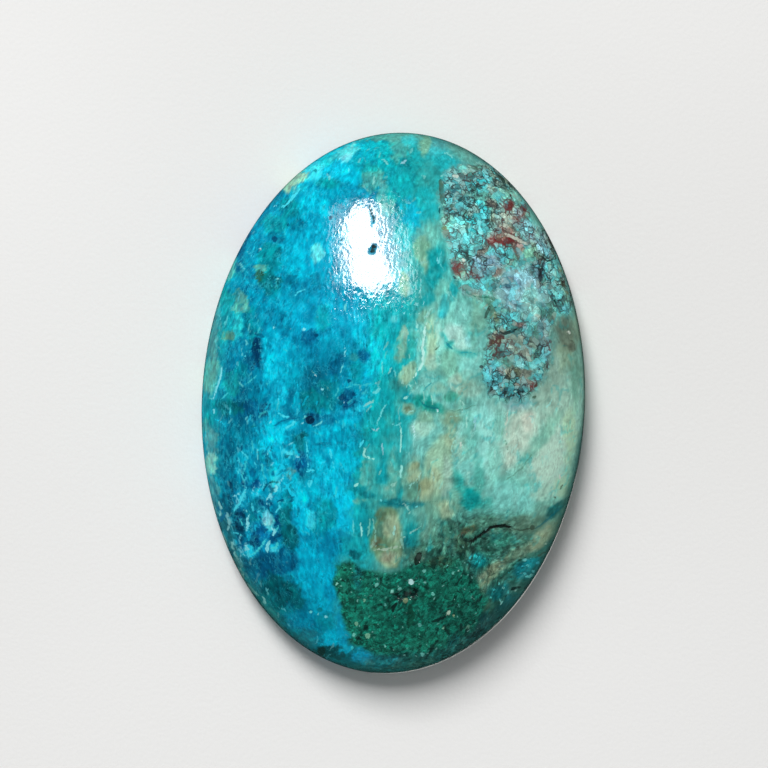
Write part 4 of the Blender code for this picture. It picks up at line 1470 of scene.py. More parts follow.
    # and its grains straggle beyond its edge to the right and below
    straggle = dab(zu, zv, 470, 560, 60, 44, -20, 0.6) + dab(zu, zv, 440, 645, 70, 20, -14, 0.6)
    straggle = np.clip(straggle, 0, 1) * (1 - green)
    shade(colour, straggle * ((level[:, 0] - 0.6) * 0.5 + 0.3 * grain(deep, 3.4, 3.4, 0, 2, 31)))
    # painted shade in the pits out there too
    lay(colour, rows, BLACK_TEAL, pit_shade * straggle * 0.55)

    # the broken patch: chips of a few sizes in dark and rusty matrix
    base = np.tile(rgb(CELADON), (n, 1))
    lay_patches(base, zu, zv, BRECCIA_PARTS, frayed * 0.6)
    rust = strongest(zu, zv, RUSTY)
    broken = np.clip(0.34 + strongest(zu, zv, BROKEN) - strongest(zu, zv, HEALED), 0, 1)
    # brown and sage dust between the chips, cloudier where they are most broken
    dust = step(0.0, 0.45, noise(swirl / 8, 88)) * (0.18 + 0.3 * broken)
    lay(base, rows, KHAKI, dust * step(-0.1, 0.3, noise(swirl / 15, 89)) * 0.7)
    lay(base, rows, MOSSY_SLATE, step(0.1, 0.5, noise(swirl / 6, 90)) * broken * 0.35)
    shade(base, grain(deep, 3.0, 3.2, 0, 1, 32) * 0.22)
    lay(colour, rows, base, breccia)
    # painted shade in part: the darker toning at the right rim and near the foot
    toning = np.zeros(n)
    for x, y, rx, ry, lean, amount in TONING:
        toning += amount * dab(zu, zv, x, y, rx, ry, lean, 0.9)
    shade(colour, np.clip(toning, -0.3, 0.2) * surface)
    # what is blue there holds no red at all
    colour[:, 0] *= 1 - 0.55 * open_blue * (1 - step(0.14, 0.30, colour[:, 0]))
    for points, width, tone, strength in HALOS:
        xs, ys = [q[0] for q in points], [q[1] for q in points]
        around = near(tu, tv, (min(xs) - 5, min(ys) - 5, max(xs) + 5, max(ys) + 5))
        if len(around):
            glow = stroke(tu[around], tv[around], points, width + 5, 4.0)
            lay(colour, around, tone, glow * strength * surface[around] * open_blue[around])
    marks = Marks(colour)
    # painted shade in the green patch's open pits, with crisp edges
    pit_shade_inside = (pit_shade - 0.55) * 5
    marks.add(rows, np.where(green + straggle > 0.4, pit_shade_inside, -3), BLACK_TEAL, 0.6 * np.clip(green + straggle, 0, 1))
    open_stone = surface * (1 - 0.8 * green) * (1 - 0.8 * breccia)
    for lines in FIBRES:
        marks.lines(tu, tv, lines, open_stone)
    marks.lines(tu, tv, VEINS, surface)
    wider = [(q, w * (1.35 if q[0][0] < 300 and q[0][1] > 430 else 1.0), tone, s) for q, w, tone, s in FILAMENTS]
    marks.lines(tu, tv, wider, surface)
    marks.specks(tu, tv, SPECKS, surface)
    dull = np.zeros(n)
    for x, y, r in DULL:
        dull = np.maximum(dull, 1 - step(0.7 * r, 1.3 * r, np.hypot(tu - x, tv - y)))

    # painted shade and dark reflection round the rim: a darker band along the right and the foot, which face away from
    # the light, a thin near-black line at the very edge there, and darker teal low on the right; the band runs on a
    # little way down the side, fading
    turn = np.degrees(np.arctan2(402.4 - p[:, 1], p[:, 0] - 392.5))
    right = 1 - step(62, 84, np.abs(turn - 6))
    foot = 1 - step(52, 80, np.abs(turn + 75))
    rim_shade = step(0.93, 0.995, rho) * (1 - 0.4 * step(4, 60, depth))
    line = step(0.978, 0.995, rho) * (1 - step(2, 12, depth))
    lower_right_rim_shade = 1 - step(34, 50, np.abs(turn + 50))
    lower_right_rim_shade *= step(0.955, 0.99, rho + 0.014 * noise(p / 7, 91)) * (1 - 0.5 * step(2, 40, depth))
    # each painted shade goes into the face's colour and into the marks' colour alike
    for tones in (colour, marks.tone):
        lay(tones, rows, RIM_SHADE_TONE, rim_shade * right * 0.36)
        lay(tones, rows, BOG, rim_shade * foot * 0.42)
        lay(tones, rows, PITCH, line * np.maximum(0.3 * right, 0.2 * foot))
        lay(tones, rows, INKY_TEAL, lower_right_rim_shade * 0.28)
    return np.clip(colour, 0, 1), np.clip(marks.tone, 0, 1), dict(
        mark=marks.inside,
        force=marks.strength,
        dull=dull,
        green=np.clip(green + 0.8 * straggle, 0, 1),
        chips=breccia * (1 - green),
        rust=rust,
        pale=pale,
        blue=blue * (1 - green) * (1 - breccia),
        lace=lively * blue * (1 - green) * (1 - breccia),
        broken=broken,
        polish=1 - 0.75 * step(8, 40, depth),
    )


# ---------------------------------------------------------------- relief that the polish left
# Pits and grooves on the chart, each with its depth in millimetres.
PITS = [
    # (u, v, half-width, half-height, lean, depth)
    (374, 247, 1.8, 1.8, 0, 0.07),
    (371, 250.5, 1.8, 1.6, 0, 0.07),
    (373, 251, 1.7, 1.8, 0, 0.06),
    (408, 594, 12, 5.5, -8, 0.10),
    (396, 600, 4, 4, 0, 0.06),
    (419, 557, 4, 6, 30, 0.05),
    (467, 630, 4, 3, 0, 0.04),
    (368, 629, 3, 3, 0, 0.04),
    (443, 619, 6, 2.5, -20, 0.04),
    (447, 631, 4, 5, 30, 0.04),
    (394, 607, 3, 5, 0, 0.05),
    (311, 420, 3.5, 3.5, 0, 0.02),
]
GROOVES = [
    # (points, width, depth)
    ([(370, 205), (371, 211), (373, 218), (373, 226)], 1.8, 0.012),
    ([(465, 542), (477, 538), (490, 528), (506, 526), (514, 528)], 3.6, 0.055),
    ([(409, 603), (412, 615), (408, 627)], 5.0, 0.040),
    ([(496, 329), (505, 333), (518, 329)], 2.6, 0.020),
    ([(361, 407), (366, 390), (372, 380), (382, 362)], 1.6, 0.008),
    ([(427, 323), (423, 340), (424, 352), (419, 368), (414, 378)], 1.8, 0.010),
]


def relief(p, masks):
    """How far each point of the face lies below or above the true dome, in millimetres."""
    u, v = p[:, 0], p[:, 1]
    height = 0.010 * noise(p / 55, 60) + 0.004 * noise(p / 21, 61)
    # harder and softer minerals polish to slightly different heights
    soft = np.clip(masks["green"] * 0.9 + masks["chips"] * 0.5, 0, 1)
    height -= 0.018 * soft
    height += soft * 0.010 * clouds(p / 4.2, 2, 62)
    height += (1 - soft) * 0.0015 * grain(p, 5, 7.5, 3, 2, 64)
    wander = shifted(p, 4, 0.8, 66)
    for x, y, rx, ry, lean, depth in PITS:
        reach = 1.6 * max(rx, ry)
        rows = near(u, v, (x - reach, y - reach, x + reach, y + reach))
        if len(rows):
            height[rows] -= depth * dab(
                wander[rows, 0], wander[rows, 1], x, y, rx, ry, lean, 0.45
            )
    for points, width, depth in GROOVES:
        xs, ys = [q[0] for q in points], [q[1] for q in points]
        rows = near(
            u, v, (min(xs) - width, min(ys) - width, max(xs) + width, max(ys) + width)
        )
        if len(rows):
            height[rows] -= depth * stroke(
                wander[rows, 0], wander[rows, 1], points, width, 1.0
            )
    return height


# ---------------------------------------------------------------- the mesh
ACROSS, ALONG = 222, 314  # quads over the face's inner grid
AROUND = 2 * (ACROSS + ALONG)
EDGE = 0.97  # where the grid hands over to rings, as a share of the radius
SHOULDER_ROWS = 11
BACK_ACROSS, BACK_ALONG = 56, 78  # the back's grid, with a quarter of the rim's points
WALL = ((1.40, 0.00678), (0.875, 0.0027), (0.35, 0.0), (0.1575, 0.0099), (0.0, 0.0395))
WALL_Z = (1.22, 1.02, 0.80, 0.58, 0.36, 0.22, 0.10, 0.0)


def round_grid(across, along):
    """(points of a rectangular grid spread evenly over the unit round, its quads, its rim's points in order from 45 degrees below +X)."""
    i, j = np.meshgrid(np.arange(across + 1), np.arange(along + 1), indexing="ij")
    a, b = 2 * i / across - 1.0, 2 * j / along - 1.0
    wide = np.abs(a) >= np.abs(b)
    big = np.where(wide, a, b)
    small = np.where(wide, b, a)
    share = np.divide(small, big, out=np.zeros_like(a), where=big != 0)
    turn = np.where(wide, math.pi / 4 * share, math.pi / 2 - math.pi / 4 * share)
    points = np.stack([big * np.cos(turn), big * np.sin(turn)], -1)
    number = np.arange((across + 1) * (along + 1)).reshape(across + 1, along + 1)
    quads = np.stack(
        [number[:-1, :-1], number[1:, :-1], number[1:, 1:], number[:-1, 1:]], -1
    ).reshape(-1, 4)
    rim = np.concatenate(
        [number[-1, :-1], number[:0:-1, -1], number[0, :0:-1], number[:-1, 0]]
    )
    return points.reshape(-1, 2), quads, rim


def face_at(x, y):
    """Points of the dome, in millimetres, over points of the unit round."""
    rho = np.hypot(x, y)
    lean = 1 - WALL[0][1]
    ox, oy = to_oval(x * lean, y * lean)
    return np.stack([ox, oy, dome_height(rho)], 1)


def face_normals(x, y):
    e = 1e-3
    rho = np.hypot(x, y)
    pull = np.where(rho > 0.995, 0.995 / np.maximum(rho, 1e-9), 1.0)
    x, y = x * pull, y * pull
    dx = face_at(x + e, y) - face_at(x - e, y)
    dy = face_at(x, y + e) - face_at(x, y - e)
    n = np.cross(dx, dy)
    return n / np.linalg.norm(n, axis=1)[:, None]


def stone_points():
    """All of the stone's points in millimetres, their outward directions, and its faces as (quads or triangles, OFBake corners)."""
    inner, quads, rim = round_grid(ACROSS, ALONG)
    inner = inner * EDGE
    edge = inner[rim] / np.linalg.norm(inner[rim], axis=1)[:, None]
    count = len(inner)
    rings, normals = [], []
    a0 = math.asin(EDGE ** (SHOULDER / 2))
    for k in range(1, SHOULDER_ROWS + 1):
        a = a0 + (math.pi / 2 - a0) * k / SHOULDER_ROWS
        rho = math.sin(a) ** (2 / SHOULDER)
        rings.append(edge * rho)
    dome = np.concatenate([inner] + rings)
    points = face_at(dome[:, 0], dome[:, 1])
    normals = face_normals(dome[:, 0], dome[:, 1])
    on_face = len(dome)

    wall_z = np.array([w[0] for w in WALL])[::-1]
    wall_in = np.array([w[1] for w in WALL])[::-1]
    walls, outward = [], []
    for z in WALL_Z:
        share = 1 - np.interp(z, wall_z, wall_in)
        ox, oy = to_oval(edge[:, 0] * share, edge[:, 1] * share)
        walls.append(np.stack([ox, oy, np.full(AROUND, z)], 1))
        tilt = 0.0 if z > 0.3 else -0.6 if z > 0 else -1.0
        n = np.stack([edge[:, 0] / WIDTH, edge[:, 1] / LENGTH, np.zeros(AROUND)], 1)
        n /= np.linalg.norm(n, axis=1)[:, None]
        n[:, 2] = tilt
        outward.append(n / np.linalg.norm(n, axis=1)[:, None])
    back, back_quads, back_rim = round_grid(BACK_ACROSS, BACK_ALONG)
    share = 1 - WALL[-1][1] - 0.018
    bx, by = to_oval(back[:, 0] * share, back[:, 1] * share)
    points = np.concatenate(
        [points] + walls + [np.stack([bx, by, np.zeros(len(bx))], 1)]
    )
    down = np.tile([0.0, 0.0, -1.0], (len(bx), 1))
    normals = np.concatenate([normals] + outward + [down])

    # the face's flat map: distance over the surface from the top, in the rim's direction
    steps = np.linspace(0, 1, 2001)
    drop = dome_height(steps)
    over = np.concatenate(
        [[0], np.cumsum(np.hypot(np.diff(steps) * 10.8, np.diff(drop)))]
    )
    over /= over[-1]
    rho = np.hypot(dome[:, 0], dome[:, 1])
    stretch = np.interp(rho, steps, over) / np.maximum(rho, 1e-9)
    face_uv = np.stack(
        [0.345 + dome[:, 0] * stretch * 0.337, 0.5 + dome[:, 1] * stretch * 0.482], 1
    )

    faces, corners = [quads], [face_uv[quads]]
    ring = rim
    following = np.roll(np.arange(AROUND), -1)
    for k in range(SHOULDER_ROWS):
        outer = count + k * AROUND + np.arange(AROUND)
        strip = np.stack([ring, outer, outer[following], ring[following]], 1)
        faces.append(strip)
        corners.append(face_uv[strip])
        ring = outer
    # the side, in four strips side by side
    quarter = AROUND // 4
    along = np.arange(AROUND) % quarter / quarter
    which = np.arange(AROUND) // quarter
    depth = (1.40,) + WALL_Z
    for k in range(len(WALL_Z)):
        outer = on_face + k * AROUND + np.arange(AROUND)
        faces.append(np.stack([ring, outer, outer[following], ring[following]], 1))
        left, right = 1.40 - depth[k], 1.40 - depth[k + 1]
        u0 = 0.705 + 0.07 * which + 0.06 * left / 1.4
        u1 = 0.705 + 0.07 * which + 0.06 * right / 1.4
        v0 = 0.42 + 0.56 * along
        v1 = v0 + 0.56 / quarter
        corners.append(
            np.stack(
                [
                    np.stack([u0, v0], 1),
                    np.stack([u1, v0], 1),
                    np.stack([u1, v1], 1),
                    np.stack([u0, v1], 1),
                ],
                1,
            )
        )
        ring = outer
    # the back, joined on through a ring with a quarter of the points
    first = on_face + len(WALL_Z) * AROUND
    back_uv = np.stack([0.845 + back[:, 0] * 0.128, 0.205 - back[:, 1] * 0.18], 1)
    small = first + back_rim
    rim_uv = np.stack([0.845 + edge[:, 0] * 0.1306, 0.205 - edge[:, 1] * 0.1836], 1)
    inner_uv = back_uv[back_rim]
    tri, tri_uv = [], []
    n_small = len(small)
    for i in range(n_small):
        here, there = small[i], small[(i + 1) % n_small]
        for k in range(4):
            o, p = 4 * i + k, (4 * i + k + 1) % AROUND
            tri.append((ring[o], here if k < 2 else there, ring[p]))
            tri_uv.append(
                (rim_uv[o], inner_uv[i if k < 2 else (i + 1) % n_small], rim_uv[p])
            )
            if k == 1:
                tri.append((here, there, ring[p]))
                tri_uv.append((inner_uv[i], inner_uv[(i + 1) % n_small], rim_uv[p]))
    flipped = back_quads[:, ::-1]
    faces.append(flipped + first)
    corners.append(back_uv[flipped])
    return points, normals, on_face, faces, corners, np.array(tri), np.array(tri_uv)


# ---------------------------------------------------------------- the shader
class Graph:
    """Adds nodes to a node tree and links them, one call a node."""

    def __init__(self, tree):
        self.tree = tree

    def add(self, kind, **settings):
        node = self.tree.nodes.new(kind)
        for name, value in settings.items():
            setattr(node, name, value)
        return node

    def put(self, socket, value):
        if isinstance(value, bpy.types.NodeSocket):
            self.tree.links.new(value, socket)
        elif value is not None:
            socket.default_value = value

    def math(self, operation, a, b=None, c=None, clamp=False):
        node = self.add("ShaderNodeMath", operation=operation, use_clamp=clamp)
        for socket, value in zip(node.inputs, (a, b, c)):
            self.put(socket, value)
        return node.outputs[0]

    def attribute(self, name, colour=False):
        node = self.add("ShaderNodeAttribute", attribute_name=name)
        return node.outputs["Color" if colour else "Fac"]

    def scaled(self, vector, x, y, z, offset=(0, 0, 0)):
        node = self.add("ShaderNodeMapping")
        self.put(node.inputs["Vector"], vector)
        node.inputs["Scale"].default_value = (x, y, z)
        node.inputs["Location"].default_value = offset
        return node.outputs[0]

    def noise(self, vector, scale=1.0, detail=2.0, rough=0.5, lacunarity=2.0, warp=0.0):
        node = self.add("ShaderNodeTexNoise")
        self.put(node.inputs["Vector"], vector)
        node.inputs["Scale"].default_value = scale
        node.inputs["Detail"].default_value = detail
        node.inputs["Roughness"].default_value = rough
        node.inputs["Lacunarity"].default_value = lacunarity
        node.inputs["Distortion"].default_value = warp
        return node

    def cells(self, vector, scale, feature="F1", rand=1.0):
        node = self.add("ShaderNodeTexVoronoi", feature=feature)
        self.put(node.inputs["Vector"], vector)
        node.inputs["Scale"].default_value = scale
        node.inputs["Randomness"].default_value = rand
        return node

    def between(self, value, low, high, out_low=0.0, out_high=1.0, smooth=True):
        node = self.add(
            "ShaderNodeMapRange",
            interpolation_type="SMOOTHSTEP" if smooth else "LINEAR",
            clamp=True,
        )
        for name, v in (
            ("Value", value),
            ("From Min", low),
            ("From Max", high),
            ("To Min", out_low),
            ("To Max", out_high),
        ):
            self.put(node.inputs[name], v)
        return node.outputs["Result"]

    def mix(self, share, a, b, mode="MIX"):
        node = self.add("ShaderNodeMix", data_type="RGBA", blend_type=mode)
        self.put(node.inputs[0], share)
        self.put(node.inputs[6], a)
        self.put(node.inputs[7], b)
        return node.outputs[2]

    def brightened(self, colour, level):
        """The colour scaled by level, so that its hue stays."""
        node = self.add("ShaderNodeVectorMath", operation="SCALE")
        self.put(node.inputs[0], colour)
        self.put(node.inputs["Scale"], level)
        return node.outputs[0]

    def shift(self, vector, push, amount):
        """vector moved by amount times a noise colour, centred on nothing."""
        less = self.add("ShaderNodeVectorMath", operation="SUBTRACT")
        self.put(less.inputs[0], push)
        less.inputs[1].default_value = (0.5, 0.5, 0.5)
        more = self.add("ShaderNodeVectorMath", operation="MULTIPLY_ADD")
        self.put(more.inputs[0], less.outputs[0])
        more.inputs[1].default_value = (amount, amount, amount)
        self.put(more.inputs[2], vector)
        return more.outputs[0]

    def bump(self, height, strength, distance, normal=None):
        node = self.add("ShaderNodeBump")
        node.inputs["Strength"].default_value = strength
        node.inputs["Distance"].default_value = distance
        self.put(node.inputs["Height"], height)
        self.put(node.inputs["Normal"], normal)
        return node.outputs[0]


def linear(tone):
    """A 0-255 sRGB tone as a linear RGBA colour."""
    c = np.array(tone, float) / 255
    c = np.where(c <= 0.04045, c / 12.92, ((c + 0.055) / 1.055) ** 2.4)
    return (float(c[0]), float(c[1]), float(c[2]), 1.0)


def stone_material():
    material = bpy.data.materials.new("shattuckite_polished")
    material.use_nodes = True
    tree = material.node_tree
    tree.nodes.clear()
    g = Graph(tree)
    out = g.add("ShaderNodeOutputMaterial")
    shader = g.add("ShaderNodeBsdfPrincipled")
    tree.links.new(shader.outputs[0], out.inputs["Surface"])

    place = g.add("ShaderNodeTexCoord").outputs["Object"]
    mm = g.scaled(place, 1000, 1000, 1000)  # the stone's own millimetres
    body = g.attribute("body", colour=True)
    lace, pale = g.attribute("lace"), g.attribute("pale")
    green, chips = g.attribute("green"), g.attribute("chips")
    rust, polish, broken = g.attribute("rust"), g.attribute("polish"), g.attribute("broken")

    wander = g.noise(mm, 2.4, 1, 0.5)
    warped = g.shift(mm, wander.outputs["Color"], 0.20)

    # fine mottling in every mineral, finer than the painted zones
    rough_stone = g.math("MAXIMUM", green, chips)
    drawn = g.noise(g.scaled(warped, 11.0, 4.4, 11.0), 1, 1.6, 0.75).outputs["Fac"]
    grit = g.noise(g.scaled(warped, 12.0, 12.0, 12.0), 1, 2, 0.75).outputs["Fac"]
    mottle = g.math("MULTIPLY_ADD", rough_stone, g.math("SUBTRACT", grit, drawn), drawn)
    swing = g.between(rough_stone, 0, 1, 1.15, 2.9)
    swing = g.math("MULTIPLY", swing, g.between(pale, 0, 1, 1.0, 0.62))
    patchy = g.noise(mm, 1.7, 1, 0.5, 2.0, 0.3).outputs["Fac"]
    swing = g.math("MULTIPLY", swing, g.between(patchy, 0.34, 0.64, 0.5, 1.45))
    level = g.math("MULTIPLY_ADD", g.math("SUBTRACT", mottle, 0.5), swing, 1.0)
    colour = g.brightened(body, level)

    # marks with crisp, slightly ragged edges
    inside = g.math("MULTIPLY_ADD", g.math("SUBTRACT", mottle, 0.5), 2.2, g.attribute("mark"))
    share = g.math("MULTIPLY", g.between(inside, -0.35, 0.35), g.attribute("force"), clamp=True)
    ink = g.brightened(g.attribute("ink", colour=True), g.math("MULTIPLY_ADD", g.math("SUBTRACT", mottle, 0.5), 0.5, 1.0))
    colour = g.mix(share, colour, ink)
    bare = g.math("MULTIPLY_ADD", share, -0.85, 1.0)
    chips, grains, lace = (g.math("MULTIPLY", mask, bare) for mask in (chips, green, lace))

    # hair-fine pale fibres along the creases of a warped noise, on the lacy side
    fibre = g.noise(g.scaled(warped, 6.4, 3.6, 6.4, (3, 1, 0)), 1, 1.5, 0.5, warp=0.4)
    crease = g.math("ABSOLUTE", g.math("SUBTRACT", fibre.outputs["Fac"], 0.5))
    thread = g.math("MULTIPLY", g.between(crease, 0.024, 0.005), g.between(wander.outputs["Fac"], 0.42, 0.62))
    thread = g.math("MULTIPLY", thread, g.math("MULTIPLY", lace, 0.55), clamp=True)
    colour = g.mix(thread, colour, linear(ICE))

    crazed = g.shift(mm, g.noise(mm, 2.6, 1, 0.5).outputs["Color"], 0.42)
    crazed = g.shift(crazed, g.noise(mm, 9.0, 1, 0.5).outputs["Color"], 0.11)

    # the lacy side: a net of pale fibres drawn out upright, round meshes of their own shades
    for stretch, scale, width, lowest, most in ((0.48, 1.6, 0.070, 0.47, 0.34), (0.55, 2.7, 0.08, 0.51, 0.28)):
        net = g.scaled(crazed, 1.0, stretch, 1.0, (0.3 * scale, 2, 1))
        gate = g.between(g.noise(mm, 1.1, 1, 0.5, 2.0, 0.4).outputs["Fac"] if scale < 2 else patchy, lowest, lowest + 0.14)
        gate = g.math("MULTIPLY", gate, lace)
        mesh_cell = g.add("ShaderNodeSeparateColor")
        g.put(mesh_cell.inputs[0], g.cells(net, scale).outputs["Color"])
        level = g.math("MULTIPLY", g.between(mesh_cell.outputs[0], 0, 1, -0.11, 0.09, smooth=False), gate)
        colour = g.brightened(colour, g.math("ADD", level, 1.0))
        gap = g.cells(net, scale, "DISTANCE_TO_EDGE").outputs["Distance"]
        wide = g.math("MULTIPLY", g.between(mottle, 0.34, 0.66, 0.1, 2.0, smooth=False), width)
        strand = g.between(gap, wide, g.math("MULTIPLY", wide, 0.3))
        strand = g.math("MULTIPLY", strand, g.math("MULTIPLY", g.math("MULTIPLY", gate, lace), most), clamp=True)
        colour = g.mix(strand, colour, linear((60, 222, 242)))

    # the broken patch: chips of two sizes, each of its own shade, between dark or rusty seams
    opened = g.math("MULTIPLY_ADD", rust, 1.0, broken)
    clear = g.math("MULTIPLY", chips, g.math("SUBTRACT", 1.0, g.math("MULTIPLY", rust, 0.8), clamp=True))
    seam_share = None
    for scale, widest, most in ((1.9, 0.085, 0.95), (3.7, 0.12, 0.75)):
        chip = g.add("ShaderNodeSeparateColor")
        g.put(chip.inputs[0], g.cells(crazed, scale).outputs["Color"])
        level = g.math("MULTIPLY", g.between(chip.outputs[0], 0, 1, -0.30, 0.32, smooth=False), chips)
        colour = g.brightened(colour, g.math("ADD", level, 1.0))
        vivid = g.math("MULTIPLY", g.between(chip.outputs[1], 0.64, 0.88), g.math("MULTIPLY", clear, 0.42))
        colour = g.mix(vivid, colour, linear((88, 212, 220)))
        drab = g.math("MULTIPLY", g.between(chip.outputs[2], 0.72, 0.9), g.math("MULTIPLY", chips, 0.28))
        colour = g.mix(drab, colour, linear(SHELL))
        gap = g.cells(crazed, scale, "DISTANCE_TO_EDGE").outputs["Distance"]
        width = g.math("MULTIPLY", g.between(patchy, 0.38, 0.62, 0.15, 1.0), g.math("MULTIPLY_ADD", opened, widest * 0.8, widest * 0.34))
        width = g.math("MULTIPLY", width, g.between(mottle, 0.3, 0.7, 0.4, 1.6, smooth=False))
        share = g.math("MULTIPLY", g.between(gap, width, g.math("MULTIPLY", width, 0.4)), most)
        seam_share = share if seam_share is None else g.math("MAXIMUM", seam_share, share)
    # and grime in the hollows between them
    grime = g.noise(g.scaled(crazed, 1.0, 1.0, 1.0, (5, 0, 2)), 3.0, 2, 0.65).outputs["Fac"]
    grime = g.math("MULTIPLY", g.between(grime, 0.52, 0.68), g.math("MULTIPLY", chips, g.between(broken, 0, 0.8, 0.22, 0.62)))
    colour = g.mix(grime, colour, g.mix(broken, linear((112, 110, 98)), linear((62, 76, 76))))
    seam_share = g.math("MULTIPLY", seam_share, g.math("MULTIPLY", chips, g.between(broken, 0, 0.6, 0.5, 0.95)))
    matrix = g.mix(g.between(broken, 0.3, 0.9), linear((62, 78, 80)), linear((26, 32, 34)))
    colour = g.mix(seam_share, colour, g.mix(rust, matrix, linear(RED_RUST)))

    # the green patch: grains of every shade, and specks of white in all of the stone
    grain = g.cells(g.shift(mm, wander.outputs["Color"], 0.5), 7.0)
    grain_level = g.add("ShaderNodeSeparateColor")
    g.put(grain_level.inputs[0], grain.outputs["Color"])
    shade_of = g.between(grain_level.outputs[0], 0, 1, -0.42, 0.42, smooth=False)
    shade_of = g.math("MULTIPLY_ADD", shade_of, g.math("MULTIPLY", grains, 0.8), 1.0)
    colour = g.brightened(colour, shade_of)
    dusty = g.math("MULTIPLY", g.between(grain_level.outputs[1], 0.62, 0.80), g.math("MULTIPLY", grains, 0.24))
    colour = g.mix(dusty, colour, linear((38, 148, 124)))
    # painted shade: some grains are darkened as hollows
    shaded_hollow = g.math("MULTIPLY", g.between(grain_level.outputs[2], 0.74, 0.90), g.math("MULTIPLY", grains, 0.55))
    colour = g.mix(shaded_hollow, colour, linear((6, 40, 34)))
    rare = g.between(grain_level.outputs[1], 0.93, 0.97)
    small = g.between(grain.outputs["Distance"], 0.42, 0.20)
    white = g.math("MULTIPLY", g.math("MULTIPLY", rare, small), g.math("MULTIPLY_ADD", rough_stone, 0.45, 0.06))
    colour = g.mix(white, colour, linear(FOAM))
    tree.links.new(colour, shader.inputs["Base Color"])

    # polish: glassy where silica binds it, duller in the grains, seams and pits
    rough = g.between(mottle, 0.3, 0.75, 0.05, 0.13, smooth=False)
    dull = g.math("MAXIMUM", g.math("MULTIPLY", green, 0.8), seam_share)
    rough = g.math("MULTIPLY_ADD", dull, 0.22, rough)
    rough = g.math("MULTIPLY_ADD", g.attribute("dull"), 0.95, rough)
    rough = g.math("MULTIPLY_ADD", g.math("SUBTRACT", 1.0, polish), 0.35, rough, clamp=True)
    tree.links.new(rough, shader.inputs["Roughness"])

    # relief below what the mesh holds: upright brushing and the grains
    brush = g.noise(g.scaled(warped, 6.8, 4.0, 6.8, (1, 7, 3)), 1, 1.2, 0.5).outputs["Fac"]
    normal = g.bump(brush, 0.7, 0.0000108)
    rugged = g.math("MULTIPLY", g.math("MULTIPLY", grain_level.outputs[0], green), g.between(grain.outputs["Distance"], 0.6, 0.3))
    normal = g.bump(rugged, 0.8, 0.000014, normal)
    tree.links.new(normal, shader.inputs["Normal"])

    shader.inputs["IOR"].default_value = 1.62
    shader.inputs["Metallic"].default_value = 0.0
    return material


# ---------------------------------------------------------------- building the piece
KEY_FROM = np.array([-0.208, 0.472, 0.857])  # the way to the main light
KEY_SHARE, FILL_SHARE = 0.85, 0.27
KEY_AWAY = 0.5  # how far it is, in metres


def lit(normals):
    """Roughly how bright the studio's light makes a matte surface facing each way, with the face's middle as 1."""
    key = KEY_FROM / np.linalg.norm(KEY_FROM)
    facing = np.clip(normals @ key, 0, 1)
    sky = 0.62 + 0.38 * normals[:, 2]
    return KEY_SHARE * facing + FILL_SHARE * sky


def to_linear(c):
    c = np.clip(c, 0, 1)
    return np.where(c <= 0.04045, c / 12.92, ((c + 0.055) / 1.055) ** 2.4)


def build_stone():
    points, normals, on_face, faces, corners, tri, tri_uv = stone_points()
    rho = np.minimum(from_oval(points[:, 0], points[:, 1]) / (1 - WALL[0][1]), 1)
    depth = np.maximum(dome_height(rho) - points[:, 2], 0) / UNIT
    depth[:on_face] = 0
    p = chart(points)
    colour, ink, masks = paint(p, depth, rho)
    n = len(points)

    # the tones are as they look lit, so the face's own colour is lighter where less light falls
    light = np.ones(n)
    light[:on_face] = lit(normals[:on_face])
    rim_light = light[on_face - AROUND : on_face]
    for k in range(len(WALL_Z)):
        light[on_face + k * AROUND : on_face + (k + 1) * AROUND] = rim_light
    share = np.clip(light, 0.42, 1.2)[:, None]
    body, ink = to_linear(colour) / share, to_linear(ink) / share
    for tones in (body, ink):
        # the palest ones are held back without losing their hue
        tones *= np.minimum(1, 0.86 / np.maximum(tones.max(1), 1e-6))[:, None]
        np.clip(tones, 0.0006, 0.86, out=tones)

    # relief, on the face only, fading out into the girdle
    height = relief(p[:on_face], {k: m[:on_face] for k, m in masks.items()})
    face_rho = np.minimum(rho[:on_face], 1)
    height *= 1 - step(0.93, 0.99, face_rho)
    points[:on_face] += normals[:on_face] * np.clip(height, -0.2, 0.02)[:, None]

    mesh = bpy.data.meshes.new("polished_cabochon")
    quads = np.concatenate(faces)
    mesh.from_pydata(
        (points / 1000).tolist(), [], quads.tolist() + tri.tolist()
    )
    mesh.update()
    uv = mesh.uv_layers.new(name="OFBake")
    flat = np.concatenate(
        [np.concatenate(corners).reshape(-1, 2), tri_uv.reshape(-1, 2)]
    )
    uv.data.foreach_set("uv", flat.astype(np.float32).ravel())
    for name, tones in (("body", body), ("ink", ink)):
        rgba = np.concatenate([tones, np.ones((n, 1))], 1).astype(np.float32)
        mesh.attributes.new(name, "FLOAT_COLOR", "POINT").data.foreach_set(
            "color", rgba.ravel()
        )
    for name in ("lace", "pale", "green", "chips", "rust", "broken", "polish", "mark", "force", "dull"):
        mesh.attributes.new(name, "FLOAT", "POINT").data.foreach_set(
            "value", masks[name].astype(np.float32)
        )
    mesh.shade_smooth()
    mesh.materials.append(stone_material())
    stone = bpy.data.objects.new("polished_cabochon", mesh)
    bpy.context.scene.collection.objects.link(stone)
    return stone


